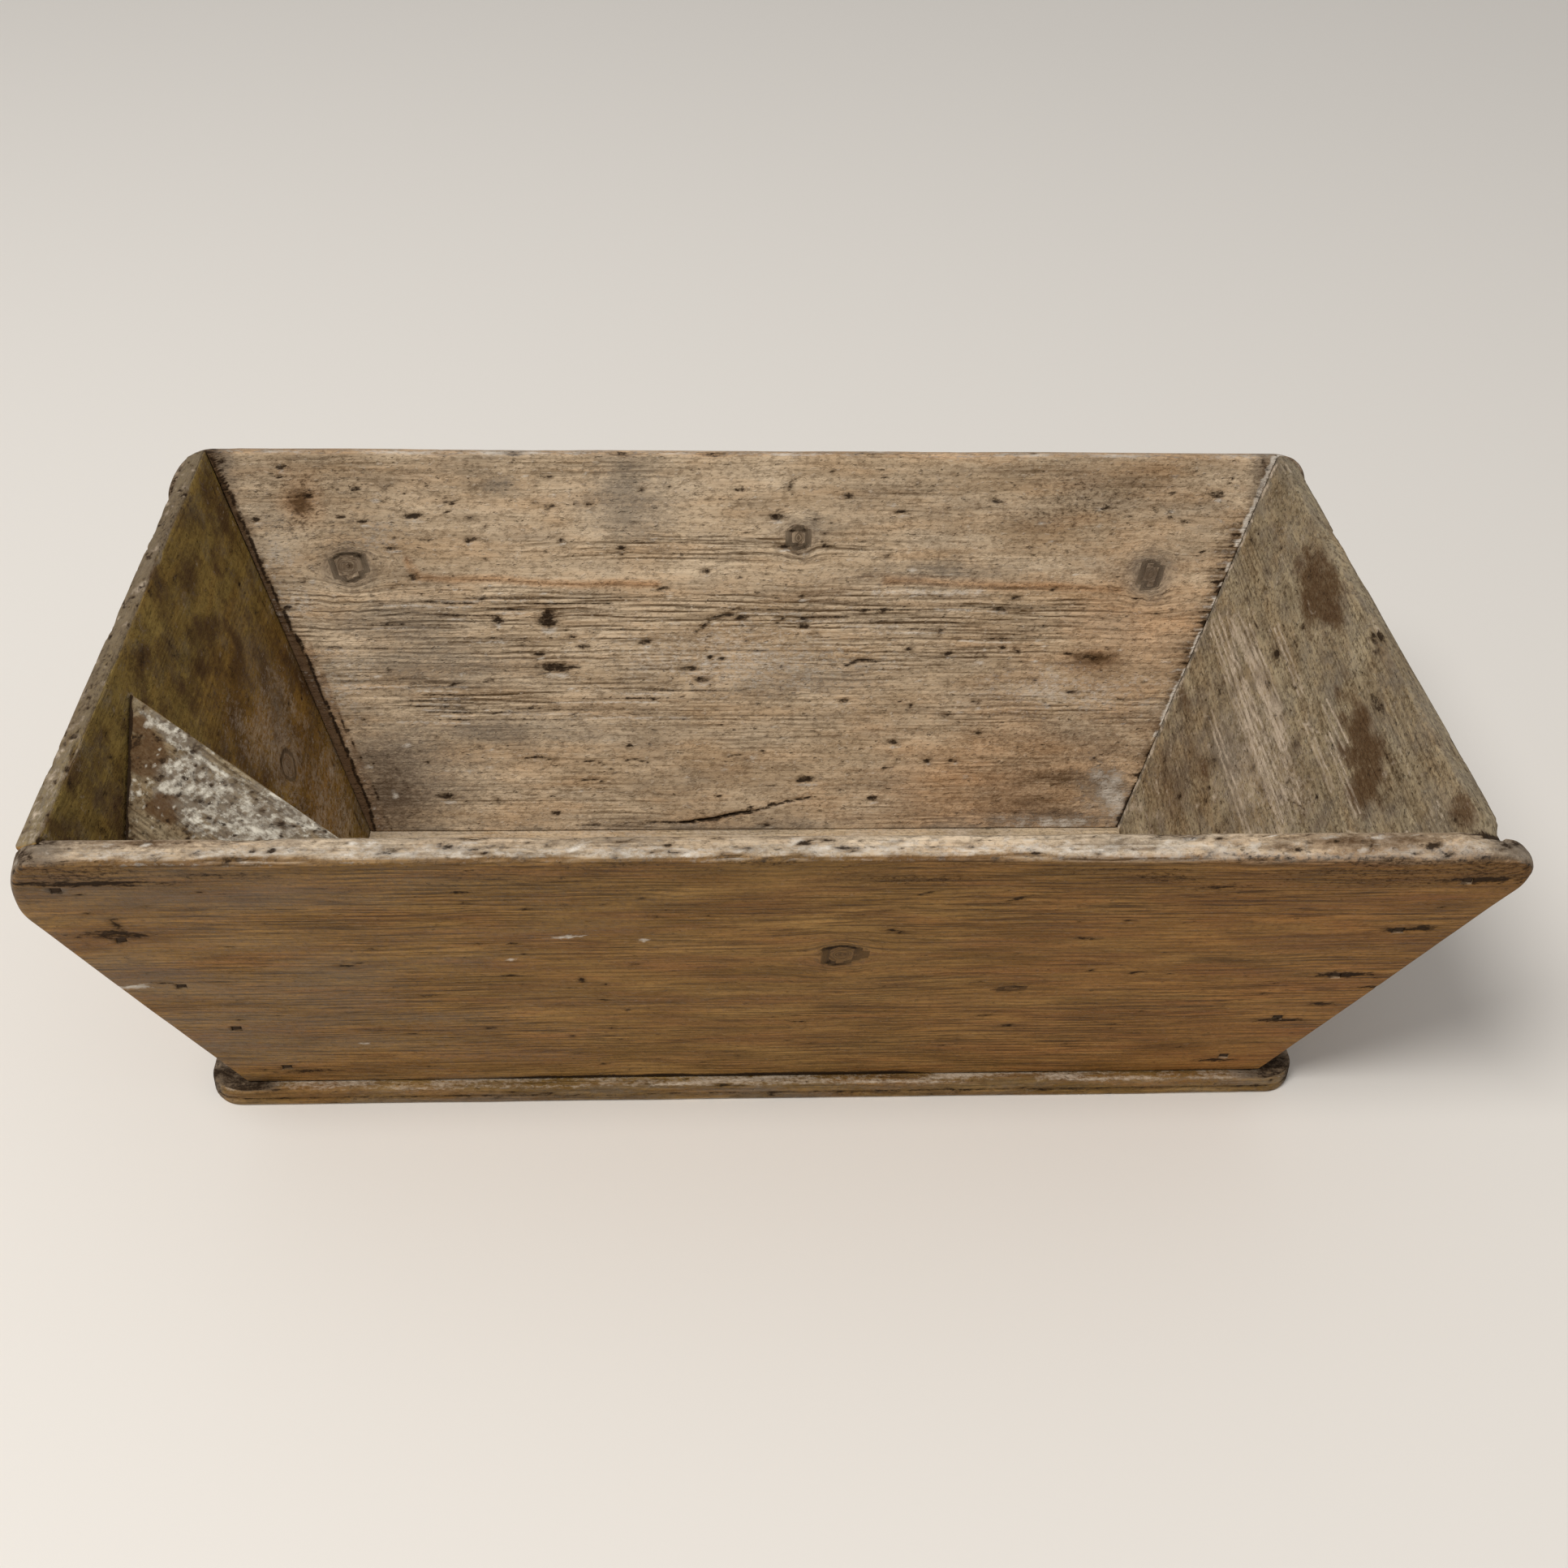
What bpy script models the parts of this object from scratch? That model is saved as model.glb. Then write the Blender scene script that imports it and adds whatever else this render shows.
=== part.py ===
"""Dough bin: a splayed pine trough, its ends housed and nailed into the long boards, on a wide base board.

Frame: metres, +Z up, floor at Z = 0, the long boards along X and the front of the bin towards -Y.
"""

import math

import bmesh
import bpy
from mathutils import Matrix, Vector

# Trough

BOARD = 0.016              # thickness of the front, back and ends
TOP_LENGTH = 0.850         # long board along the top of its outer face, corner to corner before rounding
BOTTOM_LENGTH = 0.648      # long board along the bottom of its outer face
TOP_DEPTH = 0.475          # front to back over the outer faces, at their top edges
BOTTOM_DEPTH = 0.276       # front to back over the outer faces, where they meet the base
HEIGHT = 0.271             # floor to the outer top edges
LONG_TIP_CUT = 0.057       # upright cut that takes off a sharp tip, up the slope: front left and back right
SHORT_TIP_CUT = 0.033      # the same: front right and back left
TIP_R = 0.020              # rounding of the tips at the top edge
HIP_R = 0.040              # rounding where the cut meets the slanting end
ARRIS = 0.003              # worn edges of the long boards and of the rims

# Slanting corners

END_SET_IN = 0.0276        # from the long board's end to the outer face of the end board, along X
HOUSING_DEPTH = 0.004      # how far the ends are let into the long boards

# Base

BASE_THICK = 0.015
BASE_OVERHANG_END = 0.025
BASE_OVERHANG_SIDE = 0.0065
BASE_CORNER_R = 0.022
BASE_ARRIS = 0.003

# Corner shelf

SHELF_LEG = 0.147          # along each wall
SHELF_THICK = 0.011
SHELF_DROP = 0.0586        # top edge of the trough down to the shelf's inner corner
SHELF_OPEN = 0.0020        # gap at that corner, where the shelf's cut runs off the end board
SHELF_ARRIS = 0.0012

# Nails

NAIL_LENGTH = 0.045
NAIL_HEAD_R = 0.0042       # centre to corner of the square head
NAIL_HEAD_THICK = 0.0022
NAIL_SHANK_R = 0.0024      # centre to corner of the square shank, under the head
NAIL_TIP_R = 0.0010
NAIL_SINK = 0.0010         # how far the heads are punched in
BASE_NAIL_SINK = 0.0035    # deeper below, so that the slanting heads stay clear of the floor
SIDE_NAILS = 5             # at each slanting corner
SIDE_NAIL_FIRST = 0.022    # lowest one, up the long board from its bottom edge
SIDE_NAIL_LAST = 0.029     # highest one, down from its top edge
LONG_BASE_NAILS = 5        # up into each long board
LONG_BASE_NAIL_IN = 0.094  # outermost ones, in from the long board's bottom corners
END_BASE_NAILS = 3         # up into each end
END_BASE_NAIL_IN = 0.078   # outermost ones, in from the outer faces of the long boards
SPRIG_LENGTH = 0.026       # thin headless nails that hold the shelf, driven askew from its upper face
SPRIG_R = 0.0017           # centre to corner at the top
SPRIG_TIP_R = 0.0008
SPRIG_SINK = 0.0019
SPRIG_IN = 0.0060          # from the wall, on the shelf's face
SPRIGS = (0.040, 0.112)    # from the shelf's inner corner, along each wall

# Fit

GAP = 0.0003               # left between pieces that touch
SPARE = 0.030              # how far cutters and blanks run past the wood
ARC_STEPS = 7

# Worked out from the sizes above

RISE = HEIGHT - BASE_THICK
SIDE_OUT = (TOP_DEPTH - BOTTOM_DEPTH) / 2
END_OUT = (TOP_LENGTH - BOTTOM_LENGTH) / 2
SIDE_LEAN = math.atan2(SIDE_OUT, RISE)
END_LEAN = math.atan2(END_OUT, RISE)
SIDE_SLANT = math.hypot(SIDE_OUT, RISE)
END_SLANT = math.hypot(END_OUT, RISE)
END_FOOT = BOTTOM_LENGTH / 2 - END_SET_IN
DOWN = Vector((0, 0, -1))
ALONG = Vector((1, 0, 0))


def frame(origin, across, up):
    """A matrix at origin with X across a board, Y up its slope and Z out of its outer face."""
    out = across.cross(up)
    matrix = Matrix((across, up, out)).transposed().to_4x4()
    matrix.translation = origin
    return matrix


def side_frame(side):
    """The outer face of a long board; side is -1 for the front and 1 for the back."""
    origin = Vector((0, side * BOTTOM_DEPTH / 2, BASE_THICK))
    up = Vector((0, side * math.sin(SIDE_LEAN), math.cos(SIDE_LEAN)))
    return frame(origin, Vector((-side, 0, 0)), up)


def end_frame(side):
    """The outer face of an end board; side is -1 for the left and 1 for the right."""
    origin = Vector((side * END_FOOT, 0, BASE_THICK))
    up = Vector((side * math.sin(END_LEAN), 0, math.cos(END_LEAN)))
    return frame(origin, Vector((0, side, 0)), up)


def outward(matrix):
    return matrix.to_3x3() @ Vector((0, 0, 1))


def new_object(name, mesh, collection, matrix=Matrix()):
    thing = bpy.data.objects.new(name, mesh)
    thing.matrix_world = matrix
    collection.objects.link(thing)
    return thing


def mesh_of(name, form):
    """A mesh datablock from a bmesh, which is freed."""
    bmesh.ops.recalc_face_normals(form, faces=form.faces[:])
    mesh = bpy.data.meshes.new(name)
    form.to_mesh(mesh)
    form.free()
    return mesh


def rounded(corners):
    """The points of an outline whose corners, each x, y and radius, are turned by arcs."""
    points = []
    for i, (x, y, radius) in enumerate(corners):
        corner = Vector((x, y))
        if radius <= 0:
            points.append(corner)
            continue
        back = (Vector(corners[i - 1][:2]) - corner).normalized()
        ahead = (Vector(corners[(i + 1) % len(corners)][:2]) - corner).normalized()
        half = back.angle(ahead) / 2
        centre = corner + (back + ahead).normalized() * radius / math.sin(half)
        arm = corner + back * radius / math.tan(half) - centre
        turn = math.copysign(math.pi - 2 * half, -back.cross(ahead))
        for step in range(ARC_STEPS + 1):
            points.append(centre + Matrix.Rotation(turn * step / ARC_STEPS, 2) @ arm)
    return points


def sawn(name, corners, thickness):
    """A board cut to an outline, its outer face at local Z = 0, as a bmesh with whole flat faces."""
    points = rounded(corners)
    curve = bpy.data.curves.new(name, "CURVE")
    curve.dimensions = "2D"
    curve.fill_mode = "BOTH"
    curve.extrude = thickness / 2
    line = curve.splines.new("POLY")
    line.points.add(len(points) - 1)
    for spot, point in zip(line.points, points):
        spot.co = (point.x, point.y, 0, 1)
    line.use_cyclic_u = True
    outline = bpy.data.objects.new(name, curve)
    bpy.context.scene.collection.objects.link(outline)
    bpy.context.view_layer.update()
    filled = bpy.data.meshes.new_from_object(outline.evaluated_get(bpy.context.evaluated_depsgraph_get()))
    bpy.data.objects.remove(outline)
    bpy.data.curves.remove(curve)
    form = bmesh.new()
    form.from_mesh(filled)
    bpy.data.meshes.remove(filled)
    bmesh.ops.remove_doubles(form, verts=form.verts[:], dist=0.00005)
    bmesh.ops.dissolve_limit(form, angle_limit=math.radians(0.5), verts=form.verts[:], edges=form.edges[:])
    bmesh.ops.translate(form, vec=(0, 0, -thickness / 2), verts=form.verts[:])
    return form


def blank(across, low, high, outer, inner):
    """A plain slab in a board's own frame, from outer to inner below its outer face."""
    form = bmesh.new()
    bmesh.ops.create_cube(form, size=1)
    bmesh.ops.scale(form, vec=(across, high - low, outer - inner), verts=form.verts[:])
    bmesh.ops.translate(form, vec=(0, (low + high) / 2, (outer + inner) / 2), verts=form.verts[:])
    return form


def saw(form, matrix, point, away):
    """Cuts off what lies beyond a plane given in the world frame, and closes the cut."""
    back = matrix.inverted()
    parts = form.verts[:] + form.edges[:] + form.faces[:]
    cut = bmesh.ops.bisect_plane(
        form, geom=parts, plane_co=back @ point, plane_no=back.to_3x3() @ away, clear_outer=True)
    edges = [part for part in cut["geom_cut"] if isinstance(part, bmesh.types.BMEdge)]
    bmesh.ops.edgeloop_fill(form, edges=edges)


def ease(form, width, chosen):
    """Rounds over the edges that the test picks, by the middle of each edge."""
    edges = [edge for edge in form.edges if chosen((edge.verts[0].co + edge.verts[1].co) / 2)]
    bmesh.ops.bevel(form, geom=edges, offset=width, segments=2, profile=0.5, affect="EDGES", clamp_overlap=True)


def paint(name, red, green, blue, roughness, metallic=0.0):
    material = bpy.data.materials.new(name)
    material.use_nodes = True
    surface = material.node_tree.nodes["Principled BSDF"]
    surface.inputs["Base Color"].default_value = (red, green, blue, 1)
    surface.inputs["Roughness"].default_value = roughness
    surface.inputs["Metallic"].default_value = metallic
    return material


def cut_from(board, cutter):
    cut = board.modifiers.new("cut " + cutter.name, "BOOLEAN")
    cut.operation = "DIFFERENCE"
    cut.solver = "EXACT"
    cut.object = cutter


def housing_floor(side, depth):
    """A point on the floor of the housings in a long board, and the way into that board."""
    matrix = side_frame(side)
    return matrix @ Vector((0, 0, depth - BOARD)), outward(matrix)


def long_board(name, side, parts):
    """Front or back: a trapezoid, its tips cut and rounded, its bottom edge bevelled to sit flat."""
    matrix = side_frame(side)
    flare = END_OUT / SIDE_SLANT
    low = -BOARD * math.tan(SIDE_LEAN) - SPARE / 3
    foot = BOTTOM_LENGTH / 2 + low * flare
    right = TOP_LENGTH / 2 - SHORT_TIP_CUT * flare
    left = TOP_LENGTH / 2 - LONG_TIP_CUT * flare
    corners = (
        (-foot, low, 0),
        (foot, low, 0),
        (right, SIDE_SLANT - SHORT_TIP_CUT, HIP_R),
        (right, SIDE_SLANT, TIP_R),
        (-left, SIDE_SLANT, TIP_R),
        (-left, SIDE_SLANT - LONG_TIP_CUT, HIP_R),
    )
    form = sawn(name, corners, BOARD)
    on_face = (0, -BOARD)
    ease(form, ARRIS, lambda mid: mid.y > low + 0.001 and min(abs(mid.z - z) for z in on_face) < 1e-5)
    saw(form, matrix, Vector((0, 0, BASE_THICK + GAP)), DOWN)
    return new_object(name, mesh_of(name, form), parts, matrix)


def end_slab(name, side, extra, depth, low, high, collection, seated):
    """An end board, or the cutter for its housings: a slab between the housing floors at that depth."""
    matrix = end_frame(side)
    form = blank(TOP_DEPTH + 2 * SPARE, low, high, extra, -BOARD - extra)
    if seated:
        ease(form, ARRIS, lambda mid: abs(mid.y - high) < 1e-5 and abs(mid.x) < 1e-5)
        saw(form, matrix, Vector((0, 0, BASE_THICK + GAP)), DOWN)
    for wall in (-1, 1):
        saw(form, matrix, *housing_floor(wall, depth))
    return new_object(name, mesh_of(name, form), collection, matrix)


def base_board(name, parts):
    length = BOTTOM_LENGTH / 2 + BASE_OVERHANG_END
    depth = BOTTOM_DEPTH / 2 + BASE_OVERHANG_SIDE
    signs = ((-1, -1), (1, -1), (1, 1), (-1, 1))
    form = sawn(name, [(x * length, y * depth, BASE_CORNER_R) for x, y in signs], BASE_THICK)
    ease(form, BASE_ARRIS, lambda mid: abs(mid.z) < 1e-5)
    return new_object(name, mesh_of(name, form), parts, Matrix.Translation((0, 0, BASE_THICK)))


def seam_point(height):
    """The inner front left corner of the trough, at a height above the floor."""
    up = height - BASE_THICK
    x = END_FOOT - BOARD / math.cos(END_LEAN) + up * math.tan(END_LEAN)
    y = BOTTOM_DEPTH / 2 - BOARD / math.cos(SIDE_LEAN) + up * math.tan(SIDE_LEAN)
    return Vector((-x, -y, height))


def shelf_frame():
    """The shelf's upper face: X along the front board, Z up the corner."""
    corner = seam_point(HEIGHT - SHELF_DROP)
    up = (seam_point(HEIGHT) - corner).normalized()
    along = (-outward(side_frame(-1))).cross(up).normalized()
    matrix = Matrix((along, up.cross(along), up)).transposed().to_4x4()
    matrix.translation = corner
    return matrix


def corner_shelf(name, parts):
    """A three-cornered board, square to the corner; one leg on the front, the other near the left end."""
    matrix = shelf_frame()
    wall = matrix.to_3x3().inverted() @ outward(end_frame(-1))
    leg = Vector((-wall.y, wall.x)).normalized()
    leg = leg if leg.y > 0 else -leg
    clear = Vector((leg.y, -leg.x))
    tip = leg * SHELF_LEG + clear * GAP
    corner = clear * (GAP + SHELF_OPEN)
    heel = corner - leg * ((corner.y - GAP) / leg.y)
    corners = ((heel.x, heel.y, 0), (SHELF_LEG, GAP, 0), (tip.x, tip.y, 0))
    form = sawn(name, corners, SHELF_THICK)
    ease(form, SHELF_ARRIS, lambda mid: mid.x + mid.y > SHELF_LEG * 0.4 and abs(mid.z) < 1e-5 and mid.y > 0.01)
    return new_object(name, mesh_of(name, form), parts, matrix)


def turned(name, profile, collection, matrix):
    """A square bar: the profile, outer side from top to bottom, carried round the nail's axis in four steps."""
    mesh = bpy.data.meshes.new(name)
    points = [(radius, 0, height) for radius, height in profile]
    mesh.from_pydata(points, [(i, i + 1) for i in range(len(points) - 1)], [])
    bar = new_object(name, mesh, collection, matrix @ Matrix.Rotation(math.pi / 4, 4, "Z"))
    spin = bar.modifiers.new("four sides", "SCREW")
    spin.steps = 4
    spin.render_steps = 4
    spin.use_merge_vertices = True
    spin.merge_threshold = 0.0001
    return bar


def drive(name, head, aim, across, outline, boards, parts, cutters):
    """A square nail at a point on a face, driven along aim, and its hole in each board.

    outline gives the nail's radius at each depth, from the top of its head to its tip.
    """
    up = -aim.normalized()
    across = (across - up * across.dot(up)).normalized()
    matrix = Matrix((across, up.cross(across), up)).transposed().to_4x4()
    matrix.translation = head
    top, tip = -outline[0][1], -outline[-1][1]
    body = [(radius, -depth) for radius, depth in outline]
    nail = turned(name, [(0, top), *body, (0, tip)], parts, matrix)
    room = GAP * math.sqrt(2)
    sides = [(radius + room, -depth - GAP) for radius, depth in outline[1:]]
    mouth = outline[0][0] + room
    hole = turned(name + " hole", [(0, SPARE / 3), (mouth, SPARE / 3), *sides, (0, tip - GAP)], cutters, matrix)
    for board in boards:
        cut_from(board, hole)
    return nail


def cut_nail(sink):
    """The outline of a nail with a square head, punched in by sink."""
    neck = sink + NAIL_HEAD_THICK
    return ((NAIL_HEAD_R, sink), (NAIL_HEAD_R, neck), (NAIL_SHANK_R, neck), (NAIL_TIP_R, NAIL_LENGTH))


def spread(low, high, number):
    """Evenly spaced places from low to high."""
    return [low + (high - low) * i / (number - 1) for i in range(number)]


def side_nails(board, ends, side, label, parts, cutters):
    """Through a long board into the edge of each end, aimed along the end."""
    matrix = side_frame(side)
    made = []
    for hand, end in ends:
        normal = outward(end_frame(hand))
        aim = -outward(matrix)
        aim = aim - normal * aim.dot(normal)
        for i, slope in enumerate(spread(SIDE_NAIL_FIRST, SIDE_SLANT - SIDE_NAIL_LAST, SIDE_NAILS)):
            x = END_FOOT + slope * END_OUT / SIDE_SLANT - BOARD / 2 / math.cos(END_LEAN)
            head = matrix @ Vector((-side * hand * x, slope, 0))
            name = f"nail_{label}_{'left' if hand < 0 else 'right'}_{i + 1}"
            made.append(drive(name, head, aim, ALONG, cut_nail(NAIL_SINK), (board, end), parts, cutters))
    return made


def base_nails(base, board, matrix, lean, places, label, parts, cutters):
    """Up through the base into the bottom edge of a board, aimed up its slope."""
    made = []
    for i, place in enumerate(places):
        seat = matrix @ Vector((place, 0, 0))
        aim = matrix.to_3x3() @ Vector((0, 1, 0))
        inward = -outward(matrix)
        inward.z = 0
        seat = seat + inward.normalized() * BOARD / 2 / math.cos(lean)
        head = seat - aim * BASE_THICK / math.cos(lean)
        name = f"nail_base_{label}_{i + 1}"
        made.append(drive(name, head, aim, ALONG, cut_nail(BASE_NAIL_SINK), (base, board), parts, cutters))
    return made


def shelf_nails(shelf, board, wall_frame, along, label, parts, cutters):
    """Askew from the shelf's upper face, through its edge into a wall of the trough."""
    matrix = shelf_frame()
    out = outward(wall_frame)
    outline = ((SPRIG_R, SPRIG_SINK), (SPRIG_TIP_R, SPRIG_LENGTH))
    made = []
    for i, distance in enumerate(SPRIGS):
        head = matrix.translation + along * distance - out * SPRIG_IN
        name = f"nail_shelf_{label}_{i + 1}"
        made.append(drive(name, head, out - outward(matrix), along, outline, (shelf, board), parts, cutters))
    return made


def main():
    for thing in list(bpy.data.objects):
        bpy.data.objects.remove(thing)
    parts = bpy.data.collections.new("dough_bin")
    cutters = bpy.data.collections.new("cutters")
    for collection in (parts, cutters):
        bpy.context.scene.collection.children.link(collection)

    front = long_board("front_board", -1, parts)
    back = long_board("back_board", 1, parts)
    let_in = HOUSING_DEPTH - GAP
    left = end_slab("left_end", -1, 0, let_in, -SPARE, END_SLANT, parts, True)
    right = end_slab("right_end", 1, 0, let_in, -SPARE, END_SLANT, parts, True)
    base = base_board("base_board", parts)
    shelf = corner_shelf("corner_shelf", parts)
    for label, side in (("left", -1), ("right", 1)):
        span = (-2 * SPARE, END_SLANT + 2 * SPARE)
        housing = end_slab(label + " housing", side, GAP, HOUSING_DEPTH, *span, cutters, False)
        for board in (front, back):
            cut_from(board, housing)

    nails = []
    ends = ((-1, left), (1, right))
    reach = BOTTOM_LENGTH / 2 - LONG_BASE_NAIL_IN
    places = spread(-reach, reach, LONG_BASE_NAILS)
    for board, side, label in ((front, -1, "front"), (back, 1, "back")):
        nails += side_nails(board, ends, side, label, parts, cutters)
        nails += base_nails(base, board, side_frame(side), SIDE_LEAN, places, label, parts, cutters)
    reach = BOTTOM_DEPTH / 2 - END_BASE_NAIL_IN
    places = spread(-reach, reach, END_BASE_NAILS)
    for hand, end in ends:
        label = "left" if hand < 0 else "right"
        nails += base_nails(base, end, end_frame(hand), END_LEAN, places, label, parts, cutters)
    up = outward(shelf_frame())
    along_front = shelf_frame().to_3x3() @ Vector((1, 0, 0))
    along_end = outward(end_frame(-1)).cross(up).normalized()
    nails += shelf_nails(shelf, front, side_frame(-1), along_front, "front", parts, cutters)
    nails += shelf_nails(shelf, left, end_frame(-1), along_end, "left", parts, cutters)

    looks = (
        (front, paint("front_pine", 0.19, 0.105, 0.045, 0.5)),
        (back, paint("back_pine", 0.24, 0.15, 0.075, 0.6)),
        (left, paint("left_end_pine", 0.16, 0.115, 0.06, 0.65)),
        (right, paint("right_end_pine", 0.22, 0.165, 0.095, 0.65)),
        (base, paint("base_pine", 0.15, 0.11, 0.07, 0.7)),
        (shelf, paint("shelf_pine", 0.27, 0.21, 0.14, 0.75)),
    )
    for board, look in looks:
        board.data.materials.append(look)
    for nail in nails:
        nail.data.materials.append(paint(nail.name + "_iron", 0.03, 0.024, 0.02, 0.65, 0.6))

    root = bpy.data.objects.new("dough_bin_floor_centre", None)
    parts.objects.link(root)
    for thing in parts.objects:
        if thing is not root:
            thing.parent = root
    for cutter in cutters.objects:
        cutter.hide_render = True
        cutter.display_type = "WIRE"


main()
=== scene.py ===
"""An old pine dough bin: splayed nailed boards on a flat base, with a corner shelf."""

import math

import bmesh
import bpy
import numpy as np
from mathutils import Matrix, Vector


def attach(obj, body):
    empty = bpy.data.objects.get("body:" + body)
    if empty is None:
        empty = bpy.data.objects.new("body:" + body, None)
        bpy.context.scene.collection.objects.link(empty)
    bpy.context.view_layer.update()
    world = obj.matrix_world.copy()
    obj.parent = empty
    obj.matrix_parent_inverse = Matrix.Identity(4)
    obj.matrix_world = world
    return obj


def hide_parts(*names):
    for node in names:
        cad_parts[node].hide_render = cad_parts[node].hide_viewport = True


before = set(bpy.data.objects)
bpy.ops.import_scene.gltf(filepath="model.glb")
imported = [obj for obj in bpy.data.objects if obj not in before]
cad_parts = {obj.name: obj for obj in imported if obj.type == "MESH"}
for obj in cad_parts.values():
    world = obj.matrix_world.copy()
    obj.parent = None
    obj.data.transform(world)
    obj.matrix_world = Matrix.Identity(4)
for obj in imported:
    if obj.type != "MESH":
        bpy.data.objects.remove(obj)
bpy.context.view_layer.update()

bl_info = {
    "name": "Dough bin",
    "version": (1, 0, 0),
    "blender": (4, 5, 0),
    "location": "View3D > Sidebar > Dough bin",
    "description": "An old pine dough bin with splayed, nailed boards and a corner shelf",
    "category": "Add Mesh",
}

MM = 0.001

# How the boards are set out, in metres, as in the CAD source.
BOARD = 0.016
TOP_LENGTH = 0.850
BOTTOM_LENGTH = 0.648
TOP_DEPTH = 0.475
BOTTOM_DEPTH = 0.276
HEIGHT = 0.271
LONG_TIP_CUT = 0.057
SHORT_TIP_CUT = 0.033
TIP_R = 0.020
HIP_R = 0.040
END_SET_IN = 0.0276
HOUSING_DEPTH = 0.004
BASE_THICK = 0.015
BASE_OVERHANG_END = 0.025
BASE_OVERHANG_SIDE = 0.0065
BASE_CORNER_R = 0.022
SHELF_LEG = 0.147
SHELF_THICK = 0.011
SHELF_DROP = 0.0586
SHELF_OPEN = 0.0020
JOINT_GAP = 0.0003

# Left tips that are worn further round than in the CAD: run along the rim and rise below it, in metres.
FRONT_TIP_WEAR = (0.021, 0.050)
BACK_TIP_WEAR = (0.034, 0.048)

# How far a housing's cutter runs past the end's foot and rim, and into the trough, in metres.
HOUSING_PAST = 0.03
HOUSING_IN = 0.02

# A nail's hole, in metres, and its shank and point as shares of the head's and the shank's width.
HOLE_EASE = 0.00025
HOLE_ABOVE = 0.012
HEAD_DEEP = 0.0026
SHOULDER_DEEP = 0.0030
SHANK_SHARE = 0.58
POINT_SHARE = 0.6

# How far round and along a nail's head its hole is dark, in metres, and how dark.
HOLE_DARK_ROUND = 0.0004
HOLE_DARK_ALONG = 0.004
HOLE_DARKNESS = 0.35

# The camera that took the view, in metres and radians.
CAMERA_PLACE = Vector((-0.0519, -1.0358, 0.9018))
CAMERA_PITCH = 0.6292
CAMERA_YAW = 0.0672
CAMERA_ROLL = -0.0354
CAMERA_LENS = 44.72
CAMERA_SENSOR = 36.0
CAMERA_SIGHT = 60

# The soft lamp, above and to the left of the camera, then the room and the floor, in metres and watts.
KEY_PLACE = Vector((-1.95, -2.15, 4.25))
KEY_AIM = Vector((0, 0, 0.15))
KEY_SIZE = 2.0
KEY_POWER = 200
KEY_COLOUR = "#fffcf8"
ROOM_COLOUR = "#fffdfb"
ROOM_STRENGTH = 0.42
BACKDROP_COLOUR = "#f7f6f5"
FLOOR_HALF = 9.0

# How closely each board is cut into faces: along, up and through it, in metres.
SIDE_PITCH = (0.0044, 0.0014, 0.0035)
END_PITCH = (0.0024, 0.0016, 0.0035)
BASE_PITCH = (0.005, 0.0026, 0.0022)
SHELF_PITCH = (0.0008, 0.0011, 0.0022)

# Where the shelf's inner point is cut off and the width left there, and about how much wider an
# end is at its rim than at its foot, in metres.
SHELF_POINT_CUT = 0.004
SHELF_LEAST = 0.001
END_SPREAD = 0.1

# Rounding of the arrises that the user does not set, at the foot and at the rim, in metres.
SIDE_FOOT_ARRIS = 0.0012
END_FOOT_ARRIS = 0.0008
BASE_ARRISES = (0.0026, 0.0026)
SHELF_ARRISES = (0.0006, 0.0012)
LEAST_ARRIS = 0.0006

# How far the growth rings lean through a board, how far off a knot's own rings are read, in mm,
# and how much closer they lie.
RING_LEAN = 0.8
KNOT_OFF = 700
KNOT_CLOSE = 2.2

# Cuts next to an arris, as shares of its rounding.
ARRIS_CUTS = (0.0, 0.22, 0.5, 0.8, 1.2, 1.8)

# Stretches of the back board that hold its seams: from, to and the cuts' spacing.
BACK_SEAMS = ((0.010, 0.062, 0.002), (0.675, 0.741, 0.002))

INNER, OUTER, RIM, FOOT, ENDS = "inner", "outer", "rim", "foot", "ends"


def linear(code):
    """Turns an sRGB hex colour into linear red, green and blue."""
    parts = [int(code[i : i + 2], 16) / 255 for i in (1, 3, 5)]
    return tuple(c / 12.92 if c <= 0.04045 else ((c + 0.055) / 1.055) ** 2.4 for c in parts)


def length(name, description, default):
    """A size that the user can change, in metres."""
    return bpy.props.FloatProperty(
        name=name, description=description, default=default, min=0.001, unit="LENGTH"
    )


def colour(name, description, code):
    """A colour that the user can change, given as sRGB hex."""
    return bpy.props.FloatVectorProperty(
        name=name, description=description, default=linear(code), subtype="COLOR", min=0, max=1
    )


class DOUGHBIN_PG_sizes(bpy.types.PropertyGroup):
    """The sizes of the bin."""

    board: length("Board", "Thickness of the four leaning boards", BOARD)
    top_length: length("Top length", "Length of the long boards along the rim", TOP_LENGTH)
    bottom_length: length("Bottom length", "Length of the long boards at the foot", BOTTOM_LENGTH)
    top_depth: length("Top depth", "Front to back at the rim", TOP_DEPTH)
    bottom_depth: length("Bottom depth", "Front to back at the foot", BOTTOM_DEPTH)
    height: length("Height", "Floor to the outer edge of the rim", HEIGHT)
    base_thick: length("Base", "Thickness of the base board", BASE_THICK)
    shelf_leg: length("Shelf", "Length of the corner shelf along each wall", SHELF_LEG)
    shelf_thick: length("Shelf thickness", "Thickness of the corner shelf", SHELF_THICK)
    arris: length("Worn arris", "Rounding that wear has given the rims", 0.0030)


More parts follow.
